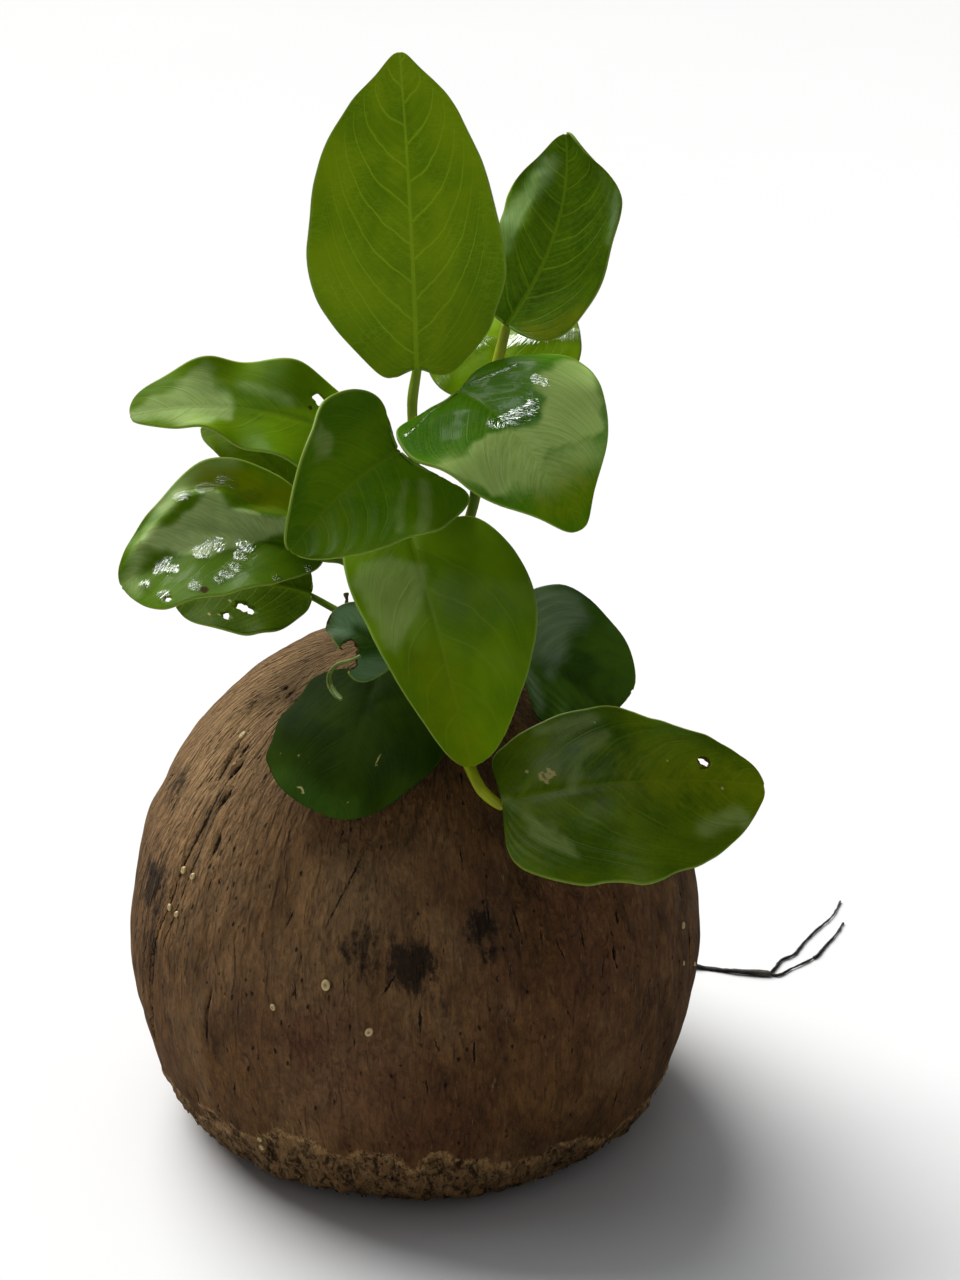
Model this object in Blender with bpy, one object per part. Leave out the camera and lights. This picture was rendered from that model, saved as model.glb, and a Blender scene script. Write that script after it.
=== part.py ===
"""Anubias plant growing on an upturned coconut shell.

Sizes are in millimetres until they meet the mesh, which is in metres with Z up.
Everything is laid out about the shell's axis, with the floor at Z = 0, and is
then moved so that the origin lies in the middle of the footprint.
"""

import math
from dataclasses import dataclass

import bmesh
import bpy
from mathutils import Vector

MM = 0.001

# Coconut shell
SHELL_RADIUS = 60.0
SHELL_RISE = 67.0
SHELL_WAIST_HEIGHT = 39.0
SHELL_WALL = 5.0
RIM_ROUNDING = 9.0
RIM_PULL_IN = 0.8
SHELL_SIDES = 44
RIM_HEIGHTS = (0.0, 1.2, 3.2, 6.0)
OUTER_RINGS = 15
INNER_RINGS = 10

# Leaf blades
BLADE_THICKNESS = 0.8
BLADE_ROWS = 10
BLADE_COLUMNS = 6
HALF_WIDTH_STATIONS = (0.1, 0.3, 0.5, 0.7, 0.9)
BASE_HALF_WIDTH = 0.8
TIP_HALF_WIDTH = 0.5
LOBE_PLACE = 0.1

# Rhizome, back end first
RHIZOME_PATH = ((-6, 9, 110), (0, 1, 110.8), (6, -7, 110), (10, -14, 108), (12, -19, 105.5))
RHIZOME_RADII = (3.0, 4.0, 4.4, 4.2, 3.2)
GRIP_GAP = 1.6

# Trailing root
ROOT_RADIUS = 0.65
ROOT_KNOT_RADIUS = 0.85
FORK_RADIUS = 0.45
FORK_TIP_RADIUS = 0.25
ROOT_CLEARANCE = 0.3


@dataclass
class Leaf:
    """One blade and its stalk, both in millimetres from the shell's axis."""

    name: str
    base: tuple
    tip: tuple
    bow: tuple
    face: tuple
    left: tuple
    right: tuple
    keel: float
    wave: float
    lobe: tuple
    colour: tuple
    roughness: float
    grows_from: tuple
    stalk_via: tuple
    stalk_radius: float


LEAVES = (
    Leaf(
        name="crown",
        base=(1, 8, 160),
        tip=(-2, 18, 221),
        bow=(0.5, -4, 0),
        face=(0.05, -1, 0.15),
        left=(13, 20, 20, 16, 7),
        right=(13, 18, 17, 13, 6),
        keel=2.0,
        wave=0.3,
        lobe=(4.0, 4.0),
        colour=(0.08, 0.19, 0.004),
        roughness=0.5,
        grows_from=(1.0, 10),
        stalk_via=((0.5, 0, 122), (0.5, 3, 138), (0, 7, 152.5)),
        stalk_radius=1.1,
    ),
    Leaf(
        name="upper_right",
        base=(19, 21, 165),
        tip=(31, 36, 200.5),
        bow=(4, 0, 0),
        face=(-0.3, -0.9, 0.3),
        left=(7, 10, 12, 12, 6),
        right=(10, 12, 12, 11, 6),
        keel=2.0,
        wave=0.6,
        lobe=(1.5, 1.5),
        colour=(0.05, 0.13, 0.008),
        roughness=0.35,
        grows_from=(1.8, -40),
        stalk_via=((8, 2, 118), (12.5, 8, 132.5), (15, 14, 149)),
        stalk_radius=1.1,
    ),
    Leaf(
        name="back",
        base=(19, 18, 150),
        tip=(18, 42, 163),
        bow=(0, 0, 4),
        face=(0, -0.5, 0.85),
        left=(11, 15, 15, 11, 6),
        right=(11, 14, 14, 12, 6),
        keel=1.5,
        wave=0.5,
        lobe=(1.5, 1.5),
        colour=(0.11, 0.24, 0.005),
        roughness=0.3,
        grows_from=(0.9, -55),
        stalk_via=((8, 8, 116), (13, 13, 132), (16.5, 16, 142)),
        stalk_radius=1.0,
    ),
    Leaf(
        name="upper_left",
        base=(-12, 2, 147),
        tip=(-55, -4, 154),
        bow=(0, 0, 4),
        face=(-0.1, -0.5, 0.85),
        left=(11, 13, 10, 7, 4),
        right=(10, 13, 12, 11, 7),
        keel=1.5,
        wave=1.0,
        lobe=(1.5, 1.5),
        colour=(0.07, 0.18, 0.01),
        roughness=0.4,
        grows_from=(0.55, 45),
        stalk_via=((-3, 1, 120), (-5, 1, 132), (-9, 2, 142)),
        stalk_radius=1.0,
    ),
    Leaf(
        name="behind_left",
        base=(-21, 13, 127),
        tip=(-43, 15, 145),
        bow=(0, 0, 4),
        face=(-0.1, -0.5, 0.85),
        left=(5, 7, 7, 6, 4),
        right=(5, 8, 8, 6, 4),
        keel=1.0,
        wave=0.5,
        lobe=(1.0, 1.0),
        colour=(0.06, 0.16, 0.006),
        roughness=0.4,
        grows_from=(0.25, 55),
        stalk_via=((-8.5, 9, 114.5), (-14, 11, 121)),
        stalk_radius=0.9,
    ),
    Leaf(
        name="glossy_left",
        base=(-18, -4, 125),
        tip=(-57, -14, 122),
        bow=(0, 0, 6),
        face=(-0.15, -0.6, 0.8),
        left=(6, 12, 14, 11, 8),
        right=(8, 16, 19, 14, 8),
        keel=3.0,
        wave=0.8,
        lobe=(1.5, 1.5),
        colour=(0.07, 0.2, 0.01),
        roughness=0.2,
        grows_from=(1.35, 60),
        stalk_via=((-5.5, -5.5, 116), (-9, -6, 121), (-14, -5, 124)),
        stalk_radius=0.9,
    ),
    Leaf(
        name="lowest_left",
        base=(-21, 6, 112.5),
        tip=(-48, 0, 112),
        bow=(0, 0, 3),
        face=(-0.05, -0.5, 0.85),
        left=(6, 11, 12, 10, 6),
        right=(6, 8, 8, 7, 4),
        keel=1.0,
        wave=0.6,
        lobe=(1.0, 1.0),
        colour=(0.05, 0.12, 0.01),
        roughness=0.4,
        grows_from=(0.7, 75),
        stalk_via=((-9, 1, 109.5), (-14, 4, 108.8)),
        stalk_radius=0.75,
    ),
    Leaf(
        name="centre",
        base=(-2.5, -10.5, 149),
        tip=(-22, -38, 139),
        bow=(0, 0, 2),
        face=(0.4, -0.6, 0.66),
        left=(14, 17, 15, 12, 7),
        right=(14, 15, 11, 8, 4),
        keel=3.0,
        wave=0.5,
        lobe=(8.0, 8.0),
        colour=(0.03, 0.1, 0.006),
        roughness=0.35,
        grows_from=(2.0, 35),
        stalk_via=((0, -9, 121), (-2.5, -7, 133), (-3.5, -6.5, 143)),
        stalk_radius=1.0,
    ),
    Leaf(
        name="glossy_right",
        base=(9.5, -7, 160),
        tip=(32.5, -30, 140),
        bow=(0, 0, 5),
        face=(0.1, -0.6, 0.78),
        left=(14, 21, 20, 15, 6),
        right=(16, 20, 18, 14, 6),
        keel=2.0,
        wave=0.6,
        lobe=(4.0, 4.0),
        colour=(0.05, 0.17, 0.012),
        roughness=0.15,
        grows_from=(2.2, -20),
        stalk_via=((7, -4.5, 119), (10.5, -1.5, 128.5), (12.5, 0, 136), (12, -1, 148)),
        stalk_radius=1.0,
    ),
    Leaf(
        name="front",
        base=(0, -16, 134),
        tip=(12, -48, 99),
        bow=(0, -3, 3),
        face=(0.05, -0.75, 0.6),
        left=(14, 19, 19, 15, 8),
        right=(13, 14, 12, 9, 5),
        keel=2.0,
        wave=0.4,
        lobe=(4.0, 4.0),
        colour=(0.07, 0.18, 0.01),
        roughness=0.3,
        grows_from=(2.8, 10),
        stalk_via=((6, -13, 118), (3, -12, 128)),
        stalk_radius=1.1,
    ),
    Leaf(
        name="lower_right",
        base=(18, -45, 90),
        tip=(69, -34, 88),
        bow=(0, -3, 4),
        face=(0.1, -0.65, 0.75),
        left=(12, 16, 16, 13, 8),
        right=(15, 20, 21, 18, 10),
        keel=-1.0,
        wave=1.4,
        lobe=(4.0, 4.0),
        colour=(0.035, 0.11, 0.012),
        roughness=0.3,
        grows_from=(3.75, 15),
        stalk_via=((10, -28, 107.5), (10, -38, 99.5), (13.5, -43.5, 92.5)),
        stalk_radius=1.2,
    ),
    Leaf(
        name="dark_round",
        base=(22, -15, 105.5),
        tip=(45, -15, 100),
        bow=(0, 0, 3),
        face=(0.1, -0.75, 0.6),
        left=(13, 16, 14, 11, 6),
        right=(11, 13, 14, 13, 8),
        keel=1.0,
        wave=0.8,
        lobe=(1.0, 1.0),
        colour=(0.012, 0.05, 0.02),
        roughness=0.3,
        grows_from=(3.0, -65),
        stalk_via=((17.5, -12.5, 107),),
        stalk_radius=0.9,
    ),
    Leaf(
        name="dark_drooping",
        base=(-6, -20, 107.5),
        tip=(-14, -48, 88),
        bow=(0, -3, 3),
        face=(-0.2, -0.65, 0.73),
        left=(10, 15, 18, 17, 9),
        right=(11, 14, 17, 18, 13),
        keel=-3.0,
        wave=0.5,
        lobe=(1.5, 1.5),
        colour=(0.008, 0.022, 0.006),
        roughness=0.35,
        grows_from=(2.5, 80),
        stalk_via=((-2, -15, 109.5),),
        stalk_radius=0.9,
    ),
    Leaf(
        name="young_torn",
        base=(-3, -26.5, 111),
        tip=(-16.5, -20, 116),
        bow=(0, 0, 2),
        face=(0, -0.7, 0.7),
        left=(6, 7, 5, 4, 2),
        right=(3, 4, 6, 6, 4),
        keel=1.0,
        wave=0.4,
        lobe=(0.5, 0.5),
        colour=(0.02, 0.07, 0.015),
        roughness=0.35,
        grows_from=(3.0, 70),
        stalk_via=((2.5, -22, 110.5),),
        stalk_radius=0.7,
    ),
)

STALK_COLOUR = (0.16, 0.26, 0.02)
SHELL_COLOUR = (0.11, 0.065, 0.035)
RHIZOME_COLOUR = (0.05, 0.06, 0.015)
ROOT_COLOUR = (0.025, 0.022, 0.02)
CURL_COLOUR = (0.12, 0.2, 0.06)
DRIED_COLOUR = (0.05, 0.04, 0.025)

CURL_PATH = (
    (-9.5, -31, 114.5),
    (-11.5, -30.5, 113.3),
    (-14, -29.5, 112),
    (-15.5, -30, 110.3),
    (-15.5, -31, 108.5),
    (-14.5, -33, 107.5),
    (-13, -35, 107),
)
DRIED_PATH = ((-6, -3, 110.5), (-10, -6, 112.5), (-13, -8, 115), (-13, -8, 118))

# The root leaves the rhizome, follows the shell and then the floor
ROOT_ON_SHELL = ((98, 101), (86, 90), (74, 74), (63, 57), (55, 40))
ROOT_OFF_SHELL = ((45, 49, 18), (54, 51, 5))
ROOT_ON_FLOOR = ((64, 51), (73, 48.6), (80, 47.6))
INNER_FORK = ((82, 50.5), (84, 54.5), (87, 57), (90, 63), (93.5, 69), (98, 76), (101, 84))
OUTER_FORK = ((82.6, 47.3), (86, 50.5), (89, 53), (91.5, 55.5))
TWIG = ((92.6, 56.8), (95, 61.5), (98, 67), (100.5, 73))


def material(name, colour, roughness):
    """A plain Principled material."""
    made = bpy.data.materials.new(name)
    made.use_nodes = True
    shader = made.node_tree.nodes["Principled BSDF"]
    shader.inputs["Base Color"].default_value = (*colour, 1.0)
    shader.inputs["Roughness"].default_value = roughness
    shader.inputs["Metallic"].default_value = 0.0
    made.diffuse_color = (*colour, 1.0)
    return made


def add_object(name, data, surface, parent):
    """Link an object that carries one material and hangs from the parent."""
    made = bpy.data.objects.new(name, data)
    data.materials.append(surface)
    bpy.context.collection.objects.link(made)
    made.parent = parent
    return made


# Shell


def outer_radius(height):
    """Radius of the shell's outer face at a height above the floor."""
    rise = (height - SHELL_WAIST_HEIGHT) / SHELL_RISE
    radius = SHELL_RADIUS * math.sqrt(max(0.0, 1.0 - rise * rise))
    if height < RIM_ROUNDING:
        drop = RIM_ROUNDING - height
        curve = RIM_ROUNDING - math.sqrt(RIM_ROUNDING**2 - drop**2)
        radius -= RIM_PULL_IN * curve
    return radius


def point_on_shell(azimuth, height, lift):
    """Point at a lift above the outer face, by azimuth in degrees and height."""
    radius = outer_radius(height)
    angle = math.radians(azimuth)
    spot = Vector((radius * math.cos(angle), radius * math.sin(angle), height))
    rise = (height - SHELL_WAIST_HEIGHT) / SHELL_RISE**2
    outward = Vector((spot.x / SHELL_RADIUS**2, spot.y / SHELL_RADIUS**2, rise))
    return spot + outward.normalized() * lift


def shell_profile():
    """Half section of the wall: rim, outer face up to the top, inner face back down."""
    top = SHELL_WAIST_HEIGHT + SHELL_RISE
    low_angle = math.asin((RIM_ROUNDING - SHELL_WAIST_HEIGHT) / SHELL_RISE)
    outer = [(outer_radius(height), height) for height in RIM_HEIGHTS]
    for step in range(OUTER_RINGS + 1):
        angle = low_angle + (math.pi / 2 - low_angle) * step / OUTER_RINGS
        height = SHELL_WAIST_HEIGHT + SHELL_RISE * math.sin(angle)
        outer.append((outer_radius(height), height))
    outer[-1] = (0.0, top)
    inner = []
    inside_radius = SHELL_RADIUS - SHELL_WALL
    inside_rise = SHELL_RISE - SHELL_WALL
    start = math.asin(-SHELL_WAIST_HEIGHT / inside_rise)
    for step in range(INNER_RINGS + 1):
        angle = math.pi / 2 + (start - math.pi / 2) * step / INNER_RINGS
        height = SHELL_WAIST_HEIGHT + inside_rise * math.sin(angle)
        radius = inside_radius * math.cos(angle)
        radius = min(radius, outer_radius(max(0.0, height)) - SHELL_WALL)
        inner.append((max(0.0, radius), max(0.0, height)))
    return outer + inner


def build_shell(parent):
    """Spin the half section into one closed, hollow dome."""
    bm = bmesh.new()
    ring = [bm.verts.new((r * MM, 0.0, z * MM)) for r, z in shell_profile()]
    for first, second in zip(ring, ring[1:] + ring[:1]):
        if first.co.x > 0 or second.co.x > 0:
            bm.edges.new((first, second))
    bmesh.ops.spin(
        bm,
        geom=bm.verts[:] + bm.edges[:],
        axis=(0, 0, 1),
        cent=(0, 0, 0),
        angle=math.tau,
        steps=SHELL_SIDES,
        use_duplicate=False,
    )
    bmesh.ops.remove_doubles(bm, verts=bm.verts[:], dist=0.00005)
    bmesh.ops.recalc_face_normals(bm, faces=bm.faces[:])
    for face in bm.faces:
        face.smooth = face.calc_center_median().z > 0.5 * MM
    mesh = bpy.data.meshes.new("coconut_shell")
    bm.to_mesh(mesh)
    bm.free()
    surface = material("coconut shell", SHELL_COLOUR, 0.85)
    return add_object("coconut_shell", mesh, surface, parent)


# Tubes: rhizome, stalks and roots


def build_tube(name, points, radii, surface, parent, sides=3, steps=3):
    """A smooth capped tube through points, with a radius at each."""
    curve = bpy.data.curves.new(name, "CURVE")
    curve.dimensions = "3D"
    curve.fill_mode = "FULL"
    curve.bevel_depth = MM
    curve.bevel_resolution = sides
    curve.resolution_u = steps
    curve.use_fill_caps = True
    spline = curve.splines.new("BEZIER")
    spline.bezier_points.add(len(points) - 1)
    for knot, point, radius in zip(spline.bezier_points, points, radii):
        knot.co = Vector(point) * MM
        knot.radius = radius
        knot.handle_left_type = "AUTO"
        knot.handle_right_type = "AUTO"
    spline.use_smooth = True
    return add_object(name, curve, surface, parent)


def rhizome_spot(along, around):
    """Point just off the rhizome, by place along it and degrees round from its top."""
    index = min(int(along), len(RHIZOME_PATH) - 2)
    part = along - index
    first = Vector(RHIZOME_PATH[index])
    second = Vector(RHIZOME_PATH[index + 1])
    centre = first.lerp(second, part)
    radius = RHIZOME_RADII[index] * (1 - part) + RHIZOME_RADII[index + 1] * part
    run = (second - first).normalized()
    aside = run.cross(Vector((0, 0, 1))).normalized()
    upward = aside.cross(run).normalized()
    angle = math.radians(around)
    outward = upward * math.cos(angle) + aside * math.sin(angle)
    return centre + outward * (radius + GRIP_GAP)


def build_rhizome(parent):
    """The creeping stem on top of the shell."""
    surface = material("rhizome", RHIZOME_COLOUR, 0.6)
    return build_tube("rhizome", RHIZOME_PATH, RHIZOME_RADII, surface, parent, sides=4)


# Leaves


def half_width(widths, along):
    """Smooth half-width at a place along the blade, where along is 0 to 1."""
    places = [0.0]
    places += [math.acos(1 - 2 * station) / math.pi for station in HALF_WIDTH_STATIONS]
    places.append(1.0)
    values = [BASE_HALF_WIDTH, *widths, TIP_HALF_WIDTH]
    spot = math.acos(max(-1.0, min(1.0, 1 - 2 * along))) / math.pi
    index = max(i for i in range(len(places) - 1) if places[i] <= spot + 1e-9)
    span = places[index + 1] - places[index]
    part = (spot - places[index]) / span

    def slope(at):
        before = max(0, at - 1)
        after = min(len(places) - 1, at + 1)
        return (values[after] - values[before]) / (places[after] - places[before])

    rise_in = slope(index) * span
    rise_out = slope(index + 1) * span
    square = part * part
    cube = square * part
    value = (2 * cube - 3 * square + 1) * values[index]
    value += (cube - 2 * square + part) * rise_in
    value += (3 * square - 2 * cube) * values[index + 1]
    value += (cube - square) * rise_out
    return max(0.3, value)


def blade_frame(leaf, along):
    """Point on the midrib, its direction, the way across and the way the face looks."""
    base = Vector(leaf.base)
    tip = Vector(leaf.tip)
    knee = (base + tip) / 2 + Vector(leaf.bow) * 2
    rest = 1 - along
    spot = base * rest * rest + knee * 2 * along * rest + tip * along * along
    run = ((knee - base) * rest + (tip - knee) * along).normalized()
    across = run.cross(Vector(leaf.face)).normalized()
    outward = across.cross(run).normalized()
    return spot, run, across, outward


def blade_point(leaf, along, across_part):
    """Point of the blade's middle surface: across_part is -1 at the left margin, 1 at the right."""
    spot, run, across, outward = blade_frame(leaf, along)
    width = half_width(leaf.right if across_part > 0 else leaf.left, along)
    reach = abs(across_part)
    belly = math.sin(math.pi * min(1.0, 0.08 + 0.92 * along))
    lift = leaf.keel * reach**1.6 * max(0.0, belly)
    phase = 0.8 if across_part > 0 else 2.4
    lift += leaf.wave * reach**2 * math.sin(math.tau * 2.2 * along + phase) * belly
    lobe = leaf.lobe[1] if across_part > 0 else leaf.lobe[0]
    back = lobe * reach * (along / LOBE_PLACE) * math.exp(1 - along / LOBE_PLACE)
    return spot + across * across_part * width + outward * lift - run * back


def build_blade(leaf, parent):
    """Bend a flat grid into the leaf's surface and give it thickness."""
    bm = bmesh.new()
    bmesh.ops.create_grid(bm, x_segments=BLADE_COLUMNS, y_segments=BLADE_ROWS, size=1.0)
    for vert in bm.verts:
        along = (1 - math.cos(math.pi * (vert.co.y + 1) / 2)) / 2
        vert.co = blade_point(leaf, along, vert.co.x) * MM
    for face in bm.faces:
        face.smooth = True
    mesh = bpy.data.meshes.new("leaf_" + leaf.name)
    bm.to_mesh(mesh)
    bm.free()
    surface = material("leaf " + leaf.name.replace("_", " "), leaf.colour, leaf.roughness)
    blade = add_object("leaf_" + leaf.name, mesh, surface, parent)
    skin = blade.modifiers.new("thickness", "SOLIDIFY")
    skin.thickness = BLADE_THICKNESS * MM
    skin.offset = 0.0
    return blade


def build_stalk(leaf, surface, parent):
    """The leaf's stalk, from the rhizome to just under the blade's base."""
    spot, run, _, outward = blade_frame(leaf, 0.0)
    foot = rhizome_spot(*leaf.grows_from)
    head = spot - run * 0.8 - outward * (leaf.stalk_radius + 0.6)
    points = [foot, *leaf.stalk_via, head]
    thick = leaf.stalk_radius
    radii = [thick * 1.15] + [thick] * len(leaf.stalk_via) + [thick * 0.8]
    return build_tube("stem_" + leaf.name, points, radii, surface, parent, sides=2, steps=2)


# Small pieces and roots


def build_curl(parent):
    """The strip that has torn off the young leaf and curled forward."""
    radii = (0.5, 0.7, 0.75, 0.7, 0.7, 0.6, 0.35)
    surface = material("torn strip", CURL_COLOUR, 0.4)
    return build_tube("leaf_young_curl", CURL_PATH, radii, surface, parent, 1, 2)


def build_dried_stalk(parent):
    """A thin dead stalk that ends in a small knob."""
    radii = (0.6, 0.5, 0.5, 1.0)
    surface = material("dried stalk", DRIED_COLOUR, 0.8)
    return build_tube("stalk_dried", DRIED_PATH, radii, surface, parent, 1, 3)


def on_floor(spots, radius):
    """Lay points in plan on the floor, a hair above it."""
    return [(x, y, radius + ROOT_CLEARANCE) for x, y in spots]


def build_roots(parent):
    """The long root down the shell's back and its three thin ends on the floor."""
    surface = material("root", ROOT_COLOUR, 0.6)
    lift = ROOT_RADIUS + ROOT_CLEARANCE
    start = rhizome_spot(0.0, -80)
    points = [start]
    points += [point_on_shell(azimuth, height, lift + 0.6) for azimuth, height in ROOT_ON_SHELL]
    points += ROOT_OFF_SHELL
    points += on_floor(ROOT_ON_FLOOR, ROOT_KNOT_RADIUS)
    radii = [ROOT_RADIUS] * (len(points) - 1) + [ROOT_KNOT_RADIUS]
    build_tube("root_trailing", points, radii, surface, parent, sides=1)
    for name, spots in (
        ("root_fork_inner", INNER_FORK),
        ("root_fork_outer", OUTER_FORK),
        ("root_twig", TWIG),
    ):
        ends = on_floor(spots, FORK_RADIUS)
        steps = len(ends) - 1
        radii = [FORK_RADIUS + (FORK_TIP_RADIUS - FORK_RADIUS) * i / steps for i in range(len(ends))]
        build_tube(name, ends, radii, surface, parent, sides=1, steps=2)


def centre_footprint(parent):
    """Move the whole thing so that the origin is under the middle of its box."""
    bpy.context.view_layer.update()
    graph = bpy.context.evaluated_depsgraph_get()
    low = Vector((math.inf, math.inf, math.inf))
    high = -low
    for piece in parent.children:
        evaluated = piece.evaluated_get(graph)
        mesh = evaluated.to_mesh()
        for vert in mesh.vertices:
            spot = evaluated.matrix_world @ vert.co
            low = Vector(map(min, low, spot))
            high = Vector(map(max, high, spot))
        evaluated.to_mesh_clear()
    parent.location = Vector((-(low.x + high.x) / 2, -(low.y + high.y) / 2, -low.z))


def main():
    for old in list(bpy.data.objects):
        bpy.data.objects.remove(old, do_unlink=True)
    bpy.context.scene.unit_settings.system = "METRIC"
    plant = bpy.data.objects.new("anubias_on_coconut_shell", None)
    bpy.context.collection.objects.link(plant)
    build_shell(plant)
    build_rhizome(plant)
    stalk_surface = material("leaf stalk", STALK_COLOUR, 0.4)
    for leaf in LEAVES:
        build_blade(leaf, plant)
        build_stalk(leaf, stalk_surface, plant)
    build_curl(plant)
    build_dried_stalk(plant)
    build_roots(plant)
    centre_footprint(plant)


main()
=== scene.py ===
"""Anubias on an upturned coconut shell, dressed for the picture.

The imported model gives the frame. Shapes are laid out in millimetres about the
shell's axis, with the floor at Z = 0, as the solids are. They move to the
frame's own axis when they become meshes.
"""

import itertools
import logging
import math
import random
from collections.abc import Callable, Iterator
from dataclasses import dataclass, replace
from enum import Enum

import bmesh
import bpy
import numpy as np
from mathutils import Matrix, Vector


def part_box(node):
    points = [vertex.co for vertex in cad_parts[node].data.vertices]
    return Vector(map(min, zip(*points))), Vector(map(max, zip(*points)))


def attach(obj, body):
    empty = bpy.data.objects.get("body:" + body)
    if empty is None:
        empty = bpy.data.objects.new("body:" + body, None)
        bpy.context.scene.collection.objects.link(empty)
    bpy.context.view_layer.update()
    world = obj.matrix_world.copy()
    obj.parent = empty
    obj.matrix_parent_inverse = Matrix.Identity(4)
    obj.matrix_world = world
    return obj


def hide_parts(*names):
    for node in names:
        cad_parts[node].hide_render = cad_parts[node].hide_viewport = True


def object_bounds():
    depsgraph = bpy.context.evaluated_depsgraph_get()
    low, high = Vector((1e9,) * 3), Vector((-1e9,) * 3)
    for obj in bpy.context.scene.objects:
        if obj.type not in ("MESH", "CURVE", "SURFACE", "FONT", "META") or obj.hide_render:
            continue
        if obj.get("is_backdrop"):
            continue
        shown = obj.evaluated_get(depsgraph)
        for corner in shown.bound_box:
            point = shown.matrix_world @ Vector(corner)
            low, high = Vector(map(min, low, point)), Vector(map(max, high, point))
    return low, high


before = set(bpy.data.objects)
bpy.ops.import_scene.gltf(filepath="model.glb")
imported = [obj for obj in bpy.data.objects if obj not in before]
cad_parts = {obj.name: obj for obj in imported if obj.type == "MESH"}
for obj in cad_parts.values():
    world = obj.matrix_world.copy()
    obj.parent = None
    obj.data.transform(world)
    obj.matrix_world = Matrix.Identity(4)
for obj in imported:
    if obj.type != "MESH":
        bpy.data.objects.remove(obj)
CAD_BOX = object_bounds()

MM = 0.001
UP = Vector((0.0, 0.0, 1.0))
LEAF_IOR = 1.42
LOG = logging.getLogger("anubias")

Colour = tuple[float, float, float]
Pair = tuple[float, float]
Triple = tuple[float, float, float]
Array = np.ndarray
Mesh = bmesh.types.BMesh
Piece = bpy.types.Object
Material = bpy.types.Material
Socket = bpy.types.NodeSocket


def shell_axis() -> Array:
    """Place of the shell's axis on the floor of the frame, in metres."""
    low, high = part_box("coconut_shell")
    return np.array(((low.x + high.x) / 2, (low.y + high.y) / 2, 0.0))


AXIS = shell_axis()


def tint(red: float, green: float, blue: float) -> Colour:
    """Linear colour of a swatch, from red, green and blue of 0 to 255 as a screen shows them."""
    parts = (max(0.0, part) / 255 for part in (red, green, blue))
    return tuple(part / 12.92 if part < 0.04 else ((part + 0.055) / 1.055) ** 2.4 for part in parts)


# Shapes


def unit(vectors: Array) -> Array:
    """Vectors brought to length one."""
    return vectors / np.maximum(np.linalg.norm(vectors, axis=-1, keepdims=True), 1e-9)


def ease(low: float, high: float, values: Array) -> Array:
    """Smooth step of values, from 0 at low to 1 at high."""
    part = np.clip((values - low) / (high - low), 0.0, 1.0)
    return part * part * (3.0 - 2.0 * part)


def smooth_through(places: Array, values: Array, spots: Array) -> Array:
    """Read a smooth curve that passes through values.

    Args:
        places: Rising positions of the values.
        values: One number or one row per place.
        spots: Positions to read.

    Returns:
        One number or row per spot.
    """
    last = len(places) - 1
    after = np.minimum(np.arange(last + 1) + 1, last)
    before = np.maximum(np.arange(last + 1) - 1, 0)
    tall = values.reshape(last + 1, -1)
    slopes = (tall[after] - tall[before]) / (places[after] - places[before])[:, None]
    index = np.clip(np.searchsorted(places, spots, side="right") - 1, 0, last - 1)
    span = (places[index + 1] - places[index])[:, None]
    part = (spots - places[index])[:, None] / span
    square, cube = part**2, part**3
    read = (2 * cube - 3 * square + 1) * tall[index]
    read += (cube - 2 * square + part) * slopes[index] * span
    read += (3 * square - 2 * cube) * tall[index + 1]
    read += (cube - square) * slopes[index + 1] * span
    return read.reshape((len(spots),) + values.shape[1:])


def nearest_on_line(spots: Array, line: Array, closed: bool = False) -> tuple[Array, ...]:
    """Find each spot's nearest place on a bent flat line.

    Args:
        spots: Flat points, one row each.
        line: Corners of the line, one row each.
        closed: Whether the last corner joins the first.

    Returns:
        Distance, offset with the sign of the side, and share of the way along.
    """
    ends = np.roll(line, -1, axis=0) if closed else line[1:]
    lengths = np.linalg.norm(ends - line[: len(ends)], axis=1)
    total = max(float(lengths.sum()), 1e-9)
    best = np.full(len(spots), 1e9)
    offset, share, run_so_far = np.zeros(len(spots)), np.zeros(len(spots)), 0.0
    for start, end, length in zip(line, ends, lengths):
        run = (end - start) / max(length, 1e-9)
        part = np.clip((spots - start) @ run, 0.0, length)
        away = spots - start - part[:, None] * run
        far = np.linalg.norm(away, axis=1)
        nearer = far < best
        best = np.where(nearer, far, best)
        offset = np.where(nearer, away @ np.array((run[1], -run[0])), offset)
        share = np.where(nearer, (run_so_far + part) / total, share)
        run_so_far += length
    return best, offset, share


def inside_line(spots: Array, line: Array) -> Array:
    """Which spots lie within a closed flat line.

    Args:
        spots: Flat points, one row each.
        line: Corners of the line, one row each.

    Returns:
        True for each spot inside.
    """
    found = np.zeros(len(spots), bool)
    for start, end in zip(line, np.roll(line, -1, axis=0)):
        crosses = (start[1] > spots[:, 1]) != (end[1] > spots[:, 1])
        rise = (spots[:, 1] - start[1]) / (end[1] - start[1] + 1e-12)
        found ^= crosses & (spots[:, 0] < start[0] + rise * (end[0] - start[0]))
    return found


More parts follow.
